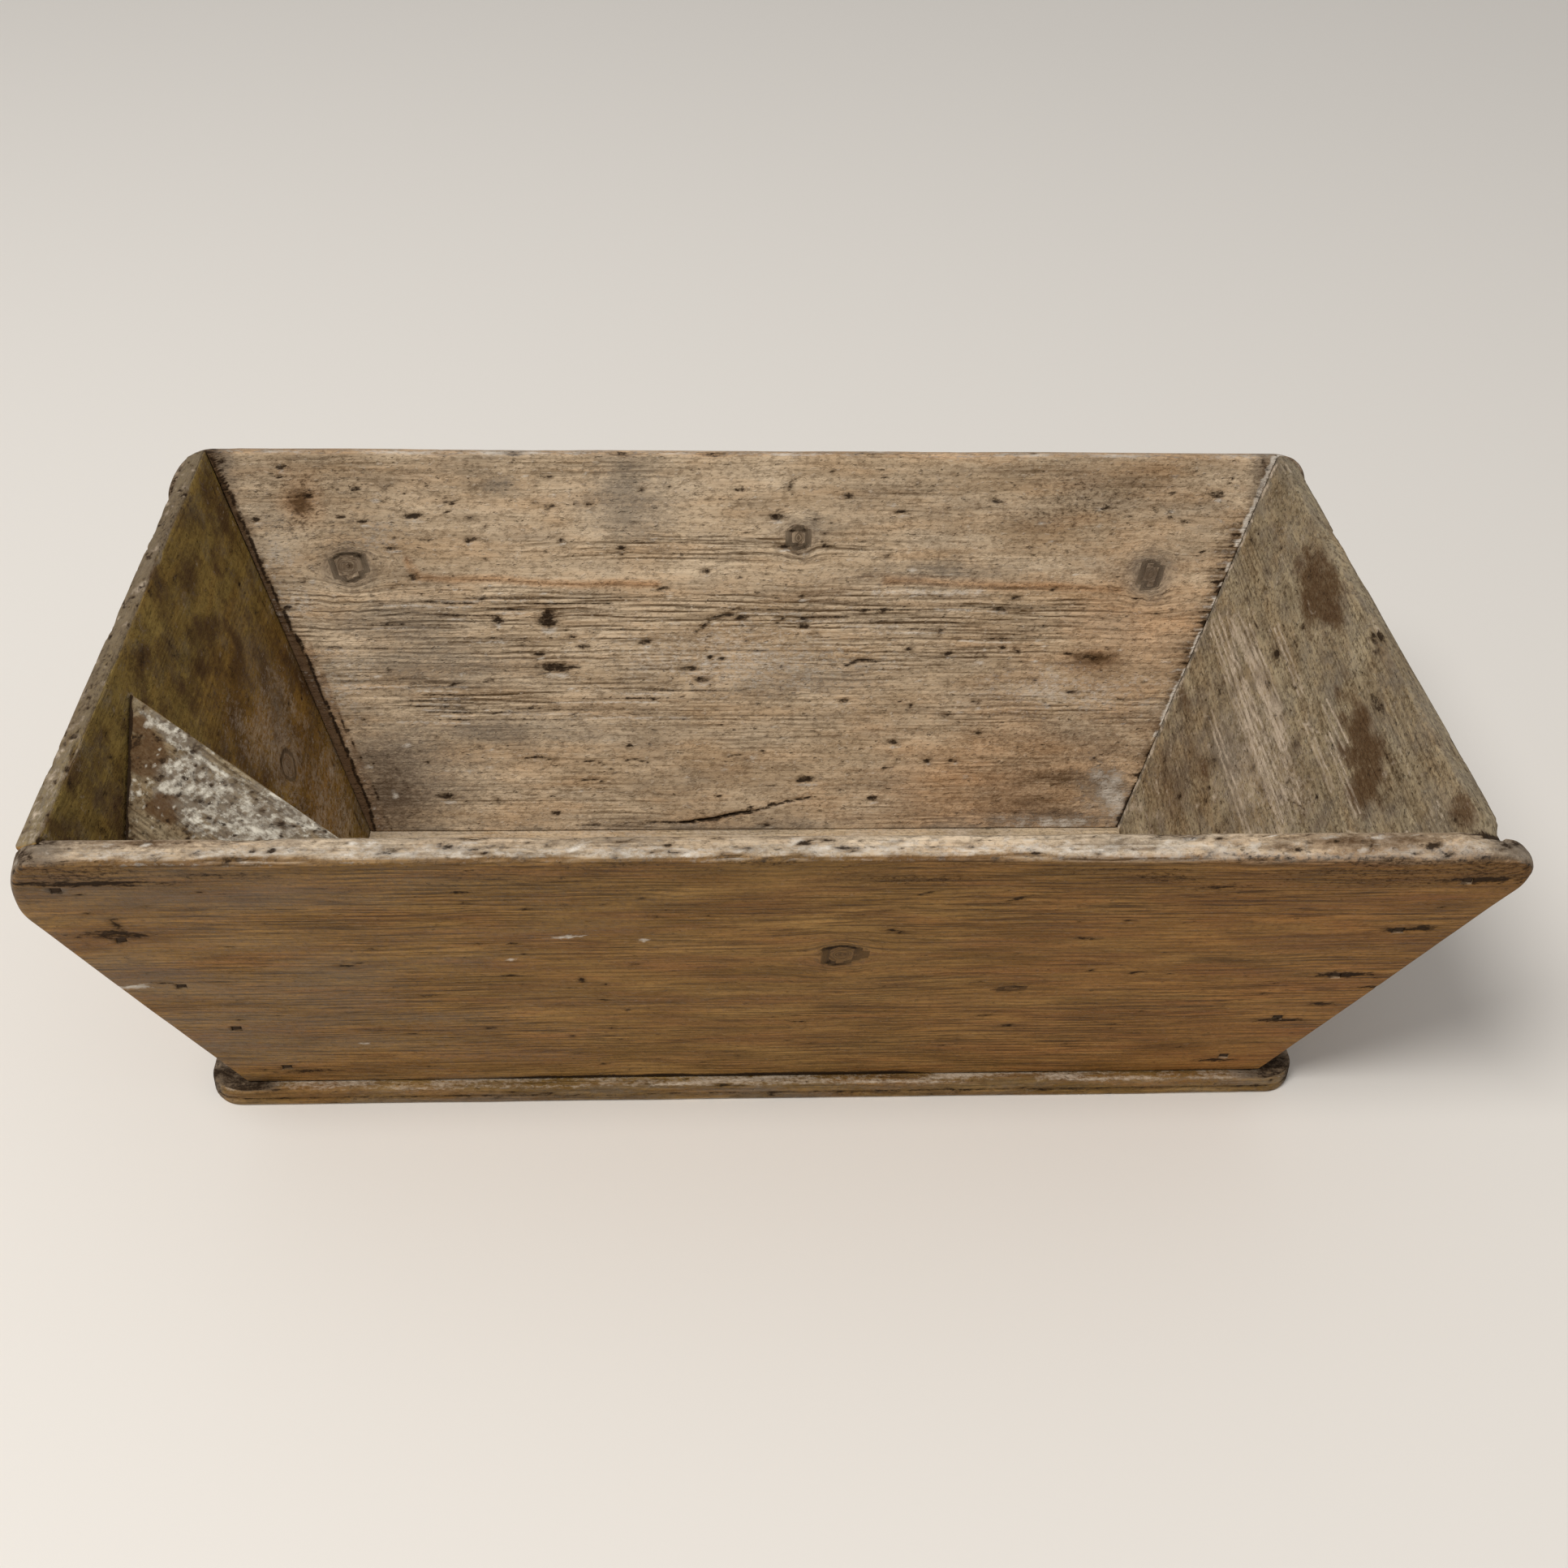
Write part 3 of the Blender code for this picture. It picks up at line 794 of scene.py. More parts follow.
# The faces that differ: scrubbed wood on the front's rim, the ends and the shelf, and the base.
BARE_FRONT = {**SCRUBBED, "tone": (0.98, 1.0, 1.04), "greying": 0.45}
GRIMED_LEFT = {**SCRUBBED, "tone": (0.53, 0.47, 0.20), "lines": 0.3, "streaks": 0.3, "flecks": 0.5}
GREYED_RIGHT = {
    **SCRUBBED, "tone": (0.59, 0.61, 0.57), "lines": 0.32, "streaks": 0.32, "speckle": 0.6,
    "flecks": 0.75, "dots": 0.7,
}
DULLED_BASE = {**WAXED, "tone": (0.86, 0.92, 1.0), "greying": 0.25, "speckle": 0.3}
FLOURY_BASE = {**SCRUBBED, "tone": (0.95, 0.95, 0.92)}
FLOURY_SHELF = {
    **SCRUBBED, "tone": (0.40, 0.40, 0.36), "lines": 0.6, "speckle": 0.6, "flecks": 0.7, "dots": 0.8,
}

# Where the marks are cut: how much the ragged noise shakes them, and the values that become 0 and 1.
MARK_CUTS = {
    "amber": (0.40, 0.12, 1.0),
    "grey": (0.60, 0.18, 0.92),
    "red": (0.45, 0.22, 0.80),
    "pale": (0.75, 0.25, 0.80),
    # The faint end of the dark marks, which holds grime and also the broad painted shade.
    "soot_and_shade": (0.25, 0.10, 0.60),
    "dark": (0.56, 0.42, 0.66),
}

# How much each pattern raises or sinks the wood.
PINE_RELIEF = {
    "late": 0.3, "streaks": -0.3, "lines": -0.5, "speckle": -0.35, "ragged": 0.25, "dots": -0.9,
    "flecks": 0.35,
}


def pine_fields(tree, grain, lined):
    """The patterns of old pine as fields from 0 to 1, with fine lines only where it is lined."""
    field = {}
    for label, (along, across, detail, rough, low, high) in PINE_PATTERNS.items():
        scale = (1 / (along * MM), 1 / (across * MM), 1 / (across * MM))
        # The painted highlight lines are the dark lines' noise, read a little to one side.
        kin = "lines" if label == "highlight_lines" else label
        step = list(PINE_PATTERNS).index(kin)
        shift = (step * PATTERN_SHIFT[0], step * PATTERN_SHIFT[1] + (HIGHLIGHT_BESIDE if label != kin else 0), 0)
        sockets = {0: grain, 1: scale, 2: shift}
        place = add(tree, "ShaderNodeVectorMath", sockets, operation="MULTIPLY_ADD").outputs[0]
        field[label] = remap(tree, noise(tree, place, 1.0, detail, Roughness=rough), low, high)
    for label in ("lines", "streaks", "highlight_lines"):
        field[label] = maths(tree, "MULTIPLY", field[label], lined)
    return field


def pine_face(tree, field, colours, face, finish):
    """The bare wood of a waxed or a scrubbed face, before its marks."""

    def ink(label):
        own = f"{face}_{label}"
        plain = getattr(colours, own if hasattr(colours, own) else label)
        return (*[c * t for c, t in zip(plain, finish["tone"])], 1)

    paint = blend(tree, field["patches"], ink("dark"), ink("light"))
    for label, tint in PINE_LAYERS:
        paint = blend(tree, maths(tree, "MULTIPLY", field[label], finish[label]), paint, ink(tint))
    return paint


def old_pine(name, colours, waxed, scrubbed, pale="bare_rim"):
    """Old pine, waxed outside and scrubbed inside: straight fine lines of late wood, worn soft between them,
    each with a painted highlight line beside it, small dark pits, grey and brown stains, and rims worn to
    bare wood.
    Wax gives the outer face a low sheen; the scrubbed inside is dry and matt."""
    material = bpy.data.materials.new(name)
    tree = empty_tree(material)
    grain, marks, bared, lined, aged = (
        add(tree, "ShaderNodeAttribute", attribute_name=label).outputs
        for label in ("grain", "marks", "scrubbed", "lined", "amber")
    )
    mark = add(tree, "ShaderNodeSeparateColor", {0: marks["Color"]}).outputs
    inside = bared["Fac"]
    field = pine_fields(tree, grain["Vector"], lined["Fac"])

    # Marks get ragged edges from a fine noise before they are cut at half strength.
    grit = maths(tree, "SUBTRACT", field["ragged"], 0.5)
    source = {
        "amber": aged["Fac"], "grey": marks["Alpha"], "red": mark[1], "pale": mark[2],
        "soot_and_shade": mark[0], "dark": mark[0],
    }
    cut = {}
    for label, (rough, low, high) in MARK_CUTS.items():
        cut[label] = remap(tree, maths(tree, "MULTIPLY_ADD", grit, rough, source[label]), low, high)

    faces = [
        pine_face(tree, field, colours, face, finish)
        for face, finish in (("waxed", waxed), ("scrubbed", scrubbed))
    ]
    paint = blend(tree, inside, *faces)
    paint = blend(tree, cut["amber"], paint, (*colours.amber, 1), "MULTIPLY")
    # The faint dark marks, grime and painted shade, go on in the late wood colour; the strong ones, dirt and
    # painted shadow, in the dirt colour.
    for label, share, ink in (
        ("grey", 0.75, colours.grey),
        ("red", 0.88, colours.resin),
        ("pale", 0.88, getattr(colours, pale)),
        ("soot_and_shade", 0.55, colours.late_wood),
        ("dark", 0.92, colours.dirt),
    ):
        paint = blend(tree, maths(tree, "MULTIPLY", cut[label], share), paint, (*ink, 1))

    rough = vary(tree, field["patches"], 0.48, 0.62)
    for amount, matt in ((inside, 0.84), (cut["dark"], 0.9)):
        rough = add(tree, "ShaderNodeMix", {0: amount, 2: rough, 3: matt}).outputs[0]
    height = 0.5
    for label, share in PINE_RELIEF.items():
        height = maths(tree, "MULTIPLY_ADD", field[label], share, height)
    bump = bumps(tree, height, 0.8, 0.0010)
    looks = {"Base Color": paint, "Roughness": rough, "Normal": bump, "IOR": 1.46, "Specular IOR Level": 0.12}
    coat(tree, looks)
    return material


def rusted_iron(colours):
    """Rusted iron: matt, dark and grainy, browner where the rust is thick."""
    material = bpy.data.materials.new("rusted_iron")
    tree = empty_tree(material)
    place = add(tree, "ShaderNodeTexCoord").outputs["Object"]
    grains = noise(tree, place, 1 / (1.3 * MM), 4.0)
    paint = blend(tree, grains, (*colours.iron, 1), (*[c * 1.35 for c in colours.iron], 1))
    rough = vary(tree, grains, 0.62, 0.92)
    bump = bumps(tree, grains, 0.6, 0.0004)
    coat(tree, {"Base Color": paint, "Roughness": rough, "Normal": bump, "Specular IOR Level": 0.1})
    return material


def dried_dough(colours):
    """Dried flour paste: chalky, off-white to grey, quite matt."""
    material = bpy.data.materials.new("dried_flour_paste")
    tree = empty_tree(material)
    place = add(tree, "ShaderNodeTexCoord").outputs["Object"]
    grains = noise(tree, place, 1 / (5 * MM), 4.0)
    paint = blend(tree, remap(tree, grains, 0.35, 0.65), (*colours.grey, 1), (*colours.flour, 1))
    coat(tree, {"Base Color": paint, "Roughness": 0.9, "Normal": bumps(tree, grains, 0.5, 0.0004)})
    return material


def matt_floor(colours):
    """Matt pale paint: even, with no sheen."""
    material = bpy.data.materials.new("matt_pale_floor")
    coat(empty_tree(material), {"Base Color": (*colours.floor, 1), "Roughness": 0.85})
    return material


# What repeats.


def new_tree(name, inputs):
    """A Geometry Nodes tree with the given named inputs, and its input's sockets by name."""
    tree = bpy.data.node_groups.new(name, "GeometryNodeTree")
    tree.interface.new_socket("Geometry", in_out="INPUT", socket_type="NodeSocketGeometry")
    tree.interface.new_socket("Geometry", in_out="OUTPUT", socket_type="NodeSocketGeometry")
    for label, kind in inputs.items():
        tree.interface.new_socket(label, in_out="INPUT", socket_type="NodeSocket" + kind)
    return tree, add(tree, "NodeGroupInput").outputs


def named(tree, label, kind):
    """A value that the points carry under the given name."""
    return add(tree, "GeometryNodeInputNamedAttribute", {"Name": label}, data_type=kind).outputs[0]


def draw_between(tree, low, high, seed):
    """A random number for each point or instance."""
    sockets = {2: low, 3: high, "Seed": seed}
    return add(tree, "FunctionNodeRandomValue", sockets, data_type="FLOAT").outputs[1]


def close_tree(tree, points, shape, turn, size, material):
    """Ends a tree: the shape on every point, as real faces with the material."""
    sockets = {"Points": points, "Instance": shape, "Rotation": turn, "Scale": size}
    shapes = add(tree, "GeometryNodeInstanceOnPoints", sockets).outputs[0]
    real = add(tree, "GeometryNodeRealizeInstances", {0: shapes}).outputs[0]
    done = add(tree, "GeometryNodeSetMaterial", {"Geometry": real, "Material": material}).outputs[0]
    add(tree, "NodeGroupOutput", {0: done})
    return tree


def keep_result(piece):
    """Gives a piece the mesh that its modifier makes, and takes the modifier away."""
    graph = bpy.context.evaluated_depsgraph_get()
    made = bpy.data.meshes.new_from_object(piece.evaluated_get(graph))
    piece.modifiers.clear()
    old = piece.data
    piece.data = made
    made.name = piece.name
    bpy.data.meshes.remove(old)
    if not len(made.polygons):
        raise RuntimeError(f"{piece.name} has no faces")


def grow(piece, tree, values):
    """Runs a tree on a piece with the given inputs and keeps the result as a plain mesh."""
    modifier = piece.modifiers.new(tree.name, "NODES")
    modifier.node_group = tree
    names = {item.name: item.identifier for item in tree.interface.items_tree if item.in_out == "INPUT"}
    for label, value in values.items():
        modifier[names[label]] = value
    keep_result(piece)


# A cut nail from its head to its point: share of its length, and half-width as a share of the head's.
NAIL_PROFILE = (
    (0.0, 0.62), (0.010, 0.94), (0.022, 1.0), (0.046, 1.0), (0.054, 0.57), (0.5, 0.48), (1.0, 0.22),
)


def profile_curve(tree, share, column):
    """One column of the nail's profile, read at a share of its steps."""
    steps = len(NAIL_PROFILE) - 1
    shape = add(tree, "ShaderNodeFloatCurve", {"Value": share})
    curve = shape.mapping.curves[0]
    for i, step in enumerate(NAIL_PROFILE):
        x = i / steps
        point = curve.points[0 if i == 0 else -1] if i in (0, steps) else curve.points.new(x, 0)
        point.location, point.handle_type = (x, step[column]), "VECTOR"
    shape.mapping.update()
    return shape.outputs[0]


def nail_tree(material):
    """A square cut nail on every point, turned and sized by the point's own values."""
    tree, given = new_tree("square_nails", {"Spin": "Float", "Smallest": "Float", "Seed": "Int"})
    steps = len(NAIL_PROFILE) - 1
    line = add(tree, "GeometryNodeCurvePrimitiveLine", {"Start": (0, 0, 0), "End": (0, 0, 1)}).outputs[0]
    line = add(tree, "GeometryNodeResampleCurve", {"Curve": line, "Count": steps + 1}).outputs[0]
    share = maths(tree, "DIVIDE", add(tree, "GeometryNodeInputIndex").outputs[0], steps)
    along, half = (profile_curve(tree, share, column) for column in (0, 1))
    place = add(tree, "ShaderNodeCombineXYZ", {"Z": along}).outputs[0]
    line = add(tree, "GeometryNodeSetPosition", {"Geometry": line, "Position": place}).outputs[0]
    line = add(tree, "GeometryNodeSetCurveRadius", {"Curve": line, "Radius": half}).outputs[0]
    radius = add(tree, "GeometryNodeInputRadius").outputs[0]
    side = {"Width": math.sqrt(2), "Height": math.sqrt(2)}
    square = add(tree, "GeometryNodeCurvePrimitiveQuadrilateral", side).outputs[0]
    sockets = {"Curve": line, "Profile Curve": square, "Scale": radius, "Fill Caps": True}
    nail = add(tree, "GeometryNodeCurveToMesh", sockets).outputs[0]
    turn, span = (named(tree, label, "FLOAT_VECTOR") for label in ("turn", "span"))
    spin = draw_between(tree, maths(tree, "MULTIPLY", given["Spin"], -1.0), given["Spin"], given["Seed"])
    spin = add(tree, "ShaderNodeCombineXYZ", {"Z": spin}).outputs[0]
    turn, spin = (
        add(tree, "FunctionNodeEulerToRotation", {0: angles}).outputs[0] for angles in (turn, spin)
    )
    sockets = {0: turn, 1: spin}
    turn = add(tree, "FunctionNodeRotateRotation", sockets, rotation_space="LOCAL").outputs[0]
    size = draw_between(tree, given["Smallest"], 1.0, given["Seed"])
    span = add(tree, "ShaderNodeVectorMath", {0: span, "Scale": size}, operation="SCALE").outputs[0]
    return close_tree(tree, given["Geometry"], nail, turn, span, material)


# A face is level enough for crumbs when it looks up by more than this, and a crumb's shape.
LEVEL = 0.9
CRUMB_SHAPE = (1.0, 0.75, 0.42)


def crumb_tree(material):
    """Small flat crumbs scattered over the upward faces that carry a pale crust."""
    amounts = dict.fromkeys(("Crust", "Per area", "Small", "Large"), "Float")
    tree, given = new_tree("crumbs", {"Up": "Vector", **amounts, "Seed": "Int"})
    marks = named(tree, "marks", "FLOAT_COLOR")
    crust = add(tree, "FunctionNodeSeparateColor", {0: marks}).outputs[2]
    facing = {0: add(tree, "GeometryNodeInputNormal").outputs[0], 1: given["Up"]}
    level = add(tree, "ShaderNodeVectorMath", facing, operation="DOT_PRODUCT").outputs["Value"]
    top = maths(tree, "GREATER_THAN", level, LEVEL)
    thick = maths(tree, "GREATER_THAN", crust, given["Crust"])
    sockets = {"Mesh": given["Geometry"], "Selection": maths(tree, "MULTIPLY", top, thick)}
    sockets.update({"Density": given["Per area"], "Seed": given["Seed"]})
    scattered = add(tree, "GeometryNodeDistributePointsOnFaces", sockets).outputs
    ball = add(tree, "GeometryNodeMeshIcoSphere", {"Radius": 0.5, "Subdivisions": 1}).outputs[0]
    flat = add(tree, "GeometryNodeTransform", {"Geometry": ball, "Scale": CRUMB_SHAPE}).outputs[0]
    size = draw_between(tree, given["Small"], given["Large"], given["Seed"])
    return close_tree(tree, scattered["Points"], flat, scattered["Rotation"], size, material)


# Features of each board, in mm: places along the board, then up it, or through it on a rim.

# A distance, in mm, past anything that a seam touches.
FAR_OFF = 1e3


def pine_rings(s, heart, lift, sway, seed, slope=0.0, lined=0.45):
    """Growth rings on a board sawn with the heart of the tree at the given height."""
    v = s.v + slope * s.u
    v = v + sway * cloud(s.u / 190, s.v / 160, seed, 2) + 0.4 * sway * cloud(s.u / 40, s.v / 26, seed + 5, 2)
    open_by = lift * (1 + 0.8 * swell(s.u / 120, s.v * 0, seed + 9))
    s.ring = heart + np.hypot(v - heart, open_by)
    s.lined = np.clip(lined + 0.7 * cloud(s.u / 95, s.v / 22, seed + 3, 2), 0.12, 1)


def worn_rim(s, seed, brown=0.0, grey=0.0, pale=0.0):
    """Chips, hollows and bare patches along a rim."""
    on = s.side[RIM]
    s.depth -= 0.5 * ease(0.1, 0.7, cloud(s.u / 34, s.w / 14, seed + 1)) * on
    s.lay("red", on * s.patchy(RIM, 0.6, 0.6, (11, 5), seed), brown)
    s.lay("grey", on * s.patchy(RIM, 0.6, 0.6, (17, 7), seed + 2), grey)
    s.lay("pale", on * s.patchy(RIM, 0.55, 0.6, (11, 5), seed), pale)
    draw = np.random.default_rng(seed)
    low, high = s.u.min(), s.u.max()
    for _ in range(int((high - low) / 30)):
        edge = OUTER if draw.random() < 0.5 else INNER
        at, half, deep = draw.uniform(low, high), draw.uniform(3, 12), draw.uniform(0.4, 1.8)
        s.chip(edge, at, half, deep, "dark", draw.choice((0.0, 0.35, 0.6)))
    s.pecks(RIM, int((high - low) / 12), seed + 3, (low, -15, high, -1), (0.6, 1.6, 2.6), 0.6, 0.85)
    s.lay("scrubbed", on)


def nail_stains(s, plan, side, seed):
    """Dark tapering streaks that the iron has left round the side nails."""
    draw = np.random.default_rng(seed)
    for v in np.linspace(22, 246, 5):
        for hand in (-1, 1):
            u = hand * (plan.end_foot / MM + v * plan.flare - 8.6)
            size = (draw.uniform(8, 16), draw.uniform(1.4, 2.4))
            s.pit(side, (u + draw.uniform(-4, 4), v + draw.uniform(-2, 2)), size, 0.2, 0, 0.85)


def seam_darkening(s, plan):
    """Darker into the corners where the ends and the base meet a long board's inner face, with brown patches
    near them and grey at the foot; gives the distance from the ends."""
    gap = plan.seam(s.v * MM) / MM - np.abs(s.u)
    near = s.side[INNER] * (gap > -2)
    ragged = 4.5 * np.clip(0.45 + 1.1 * cloud(s.v / 4, np.sign(s.u), 71, 2), 0.12, 2)
    broken = np.clip(0.75 + 0.6 * cloud(s.v / 9, np.sign(s.u) * 3, 74, 2), 0.3, 1)
    s.lay("dark", near * np.clip(1 - gap / (2 * ragged), 0, 1) * broken)
    mottle = np.clip(0.6 + 0.8 * cloud(s.v / 9, s.u / 9, 76), 0, 1)
    s.lay("red", near * np.clip(1.1 - gap / 15, 0, 1) * mottle, 0.72)
    s.lay("grey", near * np.clip(1 - (s.v + 5.5) / 16, 0, 1) * s.patchy(INNER, 0.6, 1, (18, 6), 75), 0.9)
    return np.where(gap > -2, gap, FAR_OFF)


def end_darkening(s, plan):
    """Darker into the corners of an end's inner face, along its seams and at its foot; gives the distance
    from its seams.
    """
    half = plan.end_ends(s.v * MM, s.w * MM, 0)[1] / MM
    gap = half - np.abs(s.u)
    ragged = 2.6 * np.clip(0.5 + 1.0 * cloud(s.v / 4, np.sign(s.u), 73, 2), 0.15, 2)
    s.lay("dark", s.side[INNER] * np.clip(1 - gap / (2 * ragged), 0, 1), 0.8)
    s.lay("dark", s.side[INNER] * np.clip(1 - (s.v + 5.5) / 7, 0, 1), 0.6)
    return gap


# Dark streaks and holes on the front: place, half length, half height and strength.
FRONT_STREAKS = (
    (-362, 253, 38, 2.6, 0.95), (-360, 197, 20, 5.0, 0.8), (-284, 16, 22, 3.2, 0.72),
    (387, 247, 22, 3.6, 1.0), (357, 190, 8, 2.6, 0.95), (371, 192, 9, 2.8, 0.95),
    (341, 135, 17, 3.6, 1.0), (363, 118, 10, 2.2, 0.75), (341, 96, 8, 2.4, 0.9),
    (318, 74, 14, 2.4, 0.9), (293, 16, 15, 2.2, 0.8), (241, 241, 9, 1.8, 0.85),
    (-347, 139, 6, 1.3, 0.8), (-318, 139, 7, 1.2, 0.7), (-368, 221, 3, 1.6, 0.7),
    (-110, 251, 12, 1.4, 0.6), (-168, 241, 6, 1.4, 0.9), (-166, 230, 3, 1.6, 0.9),
    (-165, 183, 4, 1.6, 0.8), (-144, 183, 2.6, 1.6, 0.9), (-122, 163, 3, 1.2, 0.7),
    (-149, 144, 5, 1.6, 0.9), (-96, 132, 2.2, 2.0, 0.95), (-96, 111, 5, 1.5, 0.75),
    (-166, 75, 4, 1.5, 0.85), (-213, 68, 3, 1.2, 0.7), (-197, 119, 6, 1.3, 0.8),
    (-241, 158, 5, 1.8, 0.9), (-222, 178, 2, 2.0, 0.7), (-135, 222, 4, 1.4, 0.8),
    (-66, 213, 7, 2.0, 0.7), (-117, 63, 3, 1.5, 0.75), (-176, 87, 2, 1.5, 0.7),
    (-140, 132, 4, 1.6, 0.7), (189, 143, 3, 1.6, 0.75), (134, 85, 6, 1.6, 0.75),
    (150, 70, 3, 1.6, 0.95), (50, 94, 2, 1.4, 0.7), (200, 204, 5, 1.4, 0.75),
    (214, 70, 7, 1.4, 0.65), (21, 79, 6, 1.3, 0.75), (30, 48, 4, 1.2, 0.7), (-99, 21, 4, 1.6, 0.7),
)

# Slanting nicks on the front: place, half length, half height and turn.
FRONT_NICKS = (
    (133, 230, 8, 2.0, 0.45), (83, 237, 6, 1.8, 0.4), (69, 194, 6, 1.9, -0.5), (179, 183, 8, 1.4, -0.15),
    (215, 140, 5, 1.6, 0.35), (-356, 212, 9, 2.5, 1.57), (-108, 138, 6, 0.9, 1.5),
)

# Pale scars on the front: place, half length and half height.
FRONT_SCARS = (
    (-115, 190, 6, 1.5), (-107, 191, 3, 1.3), (-71, 186, 2.4, 1.8), (-146, 164, 2.2, 1.9),
    (-244, 55, 2.0, 1.6), (-364, 134, 8, 2.2),
)

# Brown stains on the front's rim, place and half size, and small holes in it, place and half length.
FRONT_RIM_STAINS = ((305, -8, 17, 4.5), (268, -6, 10, 3), (338, -10, 18, 4.5), (-330, -12, 30, 3))
FRONT_RIM_HOLES = (
    (-58, -9, 3), (33, -6, 2.6), (100, -8, 4), (237, -11, 5), (-262, -7, 3), (-205, -5, 4), (-120, -10, 3),
)


def front_face(s, plan):
    """The front's outer face: waxed wood with two knots, streaks round its nails, nicks and scars, and
    painted shade, darker towards the top and the tips and lighter low down.
    """
    out = s.side[OUTER]
    # Painted shade: faint dark patches all over the outer face, fewer low down, more towards the top and the
    # two tips.
    low = 1 - 0.5 * ease(180, 90, s.v)
    s.lay("dark", out * s.patchy(OUTER, 0.06, 0.5, (45, 14), 95, octaves=4, most=0.3) * low)
    level = 0.31 + 0.12 * ease(100, 300, s.u)
    s.lay("dark", out * ease(190, 262, s.v) * s.patchy(OUTER, level, 0.3, (40, 9), 96, most=0.5))
    tips = ease(290, 390, np.abs(s.u))
    s.lay("dark", out * tips * s.patchy(OUTER, 0.14, 0.4, (22, 14), 97, most=0.32))
    s.lay("grey", out * ease(150, -350, s.u) * s.patchy(OUTER, 0.6, 0.6, (60, 18), 94), 0.62)
    s.knot(OUTER, (41, 166), 11, 0.3, 0.3, 0.7, 0.95, 1.15)
    s.knot(OUTER, (144, 121), 3.2, 0.3, 0.0, 0.9, 2.2, 1.15)
    for u, v, half, high, strength in FRONT_STREAKS:
        s.pit(OUTER, (u, v), (half, high), 0.25, 0, strength)
    for u, v, half, high, turn in FRONT_NICKS:
        s.pit(OUTER, (u, v), (half, high), 0.25, turn, 0.85)
    for u, v, half, high in FRONT_SCARS:
        s.pit(OUTER, (u, v), (half, high), 0.2, 0.15, 0.9, "pale")
    s.pecks(OUTER, 190, 13, (-380, 6, 380, 266), (0.8, 1.6, 4.0), 0.25, 0.78)
    seam_darkening(s, plan)
    bare = 272 - 1 - 5 * ease(120, 380, s.u) + 2.5 * cloud(s.u / 16, s.v * 0, 107)
    band = out * ease(bare - 3, bare + 2, s.v) * ease(60, 150, s.u)
    s.lay("scrubbed", band, 0.85)
    s.lay("red", band * s.patchy(OUTER, 0.5, 0.8, (14, 6), 108), 0.75)
    s.lay("pale", band * s.patchy(OUTER, 0.3, 0.8, (10, 5), 109), 0.7)


def front_rim(s):
    """The front's rim: pale outside, grey and brown inside, with stains, holes and a waxed outer arris."""
    worn_rim(s, 14)
    rim = s.side[RIM]
    outer = ease(-12, -7, s.w + 1.8 * cloud(s.u / 30, s.w * 0, 16))
    lip = ease(-10.5, -14, s.w + 2.0 * cloud(s.u / 26, s.w * 0, 18)) * rim
    s.lined *= 1 - 0.55 * rim
    s.lay("red", rim * ease(120, 300, s.u) * s.patchy(RIM, 0.35, 0.7, (18, 6), 115), 0.55)
    worn = 1 - 0.2 * ease(150, -50, s.u)
    s.lay("pale", rim * outer * s.patchy(RIM, 0.5, 0.45, (13, 5), 15) * worn, 0.84)
    s.lay("grey", rim * ease(200, -50, s.u) * s.patchy(RIM, 0.55, 0.6, (16, 6), 118), 0.75)
    # Pale along the outer arris: wood worn bare there, with a painted highlight on it.
    s.lay("pale", s.arris[OUTER] * s.patchy(RIM, 0.45, 0.6, (20, 9), 20), 0.9)
    s.lay("grey", rim * (1 - outer) * s.patchy(RIM, 0.3, 0.7, (20, 6), 19), 0.6)
    browned = np.maximum(ease(-250, -310, s.u), 0.6 * ease(270, 330, s.u))
    s.lay("red", lip * s.patchy(RIM, 0.65, 0.6, (13, 5), 15) * browned, 0.8)
    s.lay("red", lip * s.patchy(RIM, 0.05, 0.6, (13, 5), 15), 0.6)
    for u, w, half, wide in FRONT_RIM_STAINS:
        stain = s.blot(RIM, (u, w), (half, wide), 0.5)
        s.lay("red", stain, 0.85)
        s.pale *= 1 - 0.8 * ease(0.3, 0.6, stain)
    s.pecks(RIM, 110, 126, (-390, -15, 390, -2), (0.7, 1.9, 3.2), 0.4, 0.9)
    s.pecks(RIM, 90, 127, (-390, -13, 390, -2), (0.8, 1.8, 3.2), 0.0, 1.0, "pale")
    for u, w, half in FRONT_RIM_HOLES:
        s.pit(RIM, (u, w), (half, 1.6), 0.5, 0.2, 0.85)
    turned = s.side[OUTER] * rim * ease(200, 100, s.u)
    s.pale *= 1 - 0.8 * turned
    s.grey *= 1 - 0.5 * turned
    s.scrubbed *= 1 - 0.9 * turned


def front_features(s, plan):
    """All of the front board: its grain, outer face and rim, painted shadow along the gap at its foot, and
    its dark tips.
    """
    pine_rings(s, -160, 20, 3.0, 11, 0.0, 0.8)
    s.hollow(0.3, (70, 40), 12)
    front_face(s, plan)
    front_rim(s)
    out, rim = s.side[OUTER], s.side[RIM]
    s.lay("amber", out * s.patchy(OUTER, 0.2 + 0.4 * ease(0, 300, s.u), 0.3, (50, 12), 120), 0.9)
    # Painted shadow along the gap at the foot of the outer face, tallest in the middle.
    foot_shadow_height = 1.2 + 3.4 * ease(-210, -90, s.u) * ease(110, 85, s.u) + 0.8 * swell(s.u / 20, s.v * 0, 121)
    s.lay("dark", out * ease(foot_shadow_height + 1.2, foot_shadow_height - 0.6, s.v), 0.95)
    tips = np.maximum(ease(-352, -378, s.u), ease(374, 392, s.u)) * np.maximum(rim, s.side[ENDS])
    s.lay("grey", tips, 0.9)
    s.lay("dark", tips * s.patchy(RIM, 0.42, 0.6, (5, 4), 17), 0.85)
    s.pale *= 1 - 0.7 * tips
    s.pit(RIM, (-396, -5), (3.5, 2.0), 0.4, 0, 1.0, "pale")


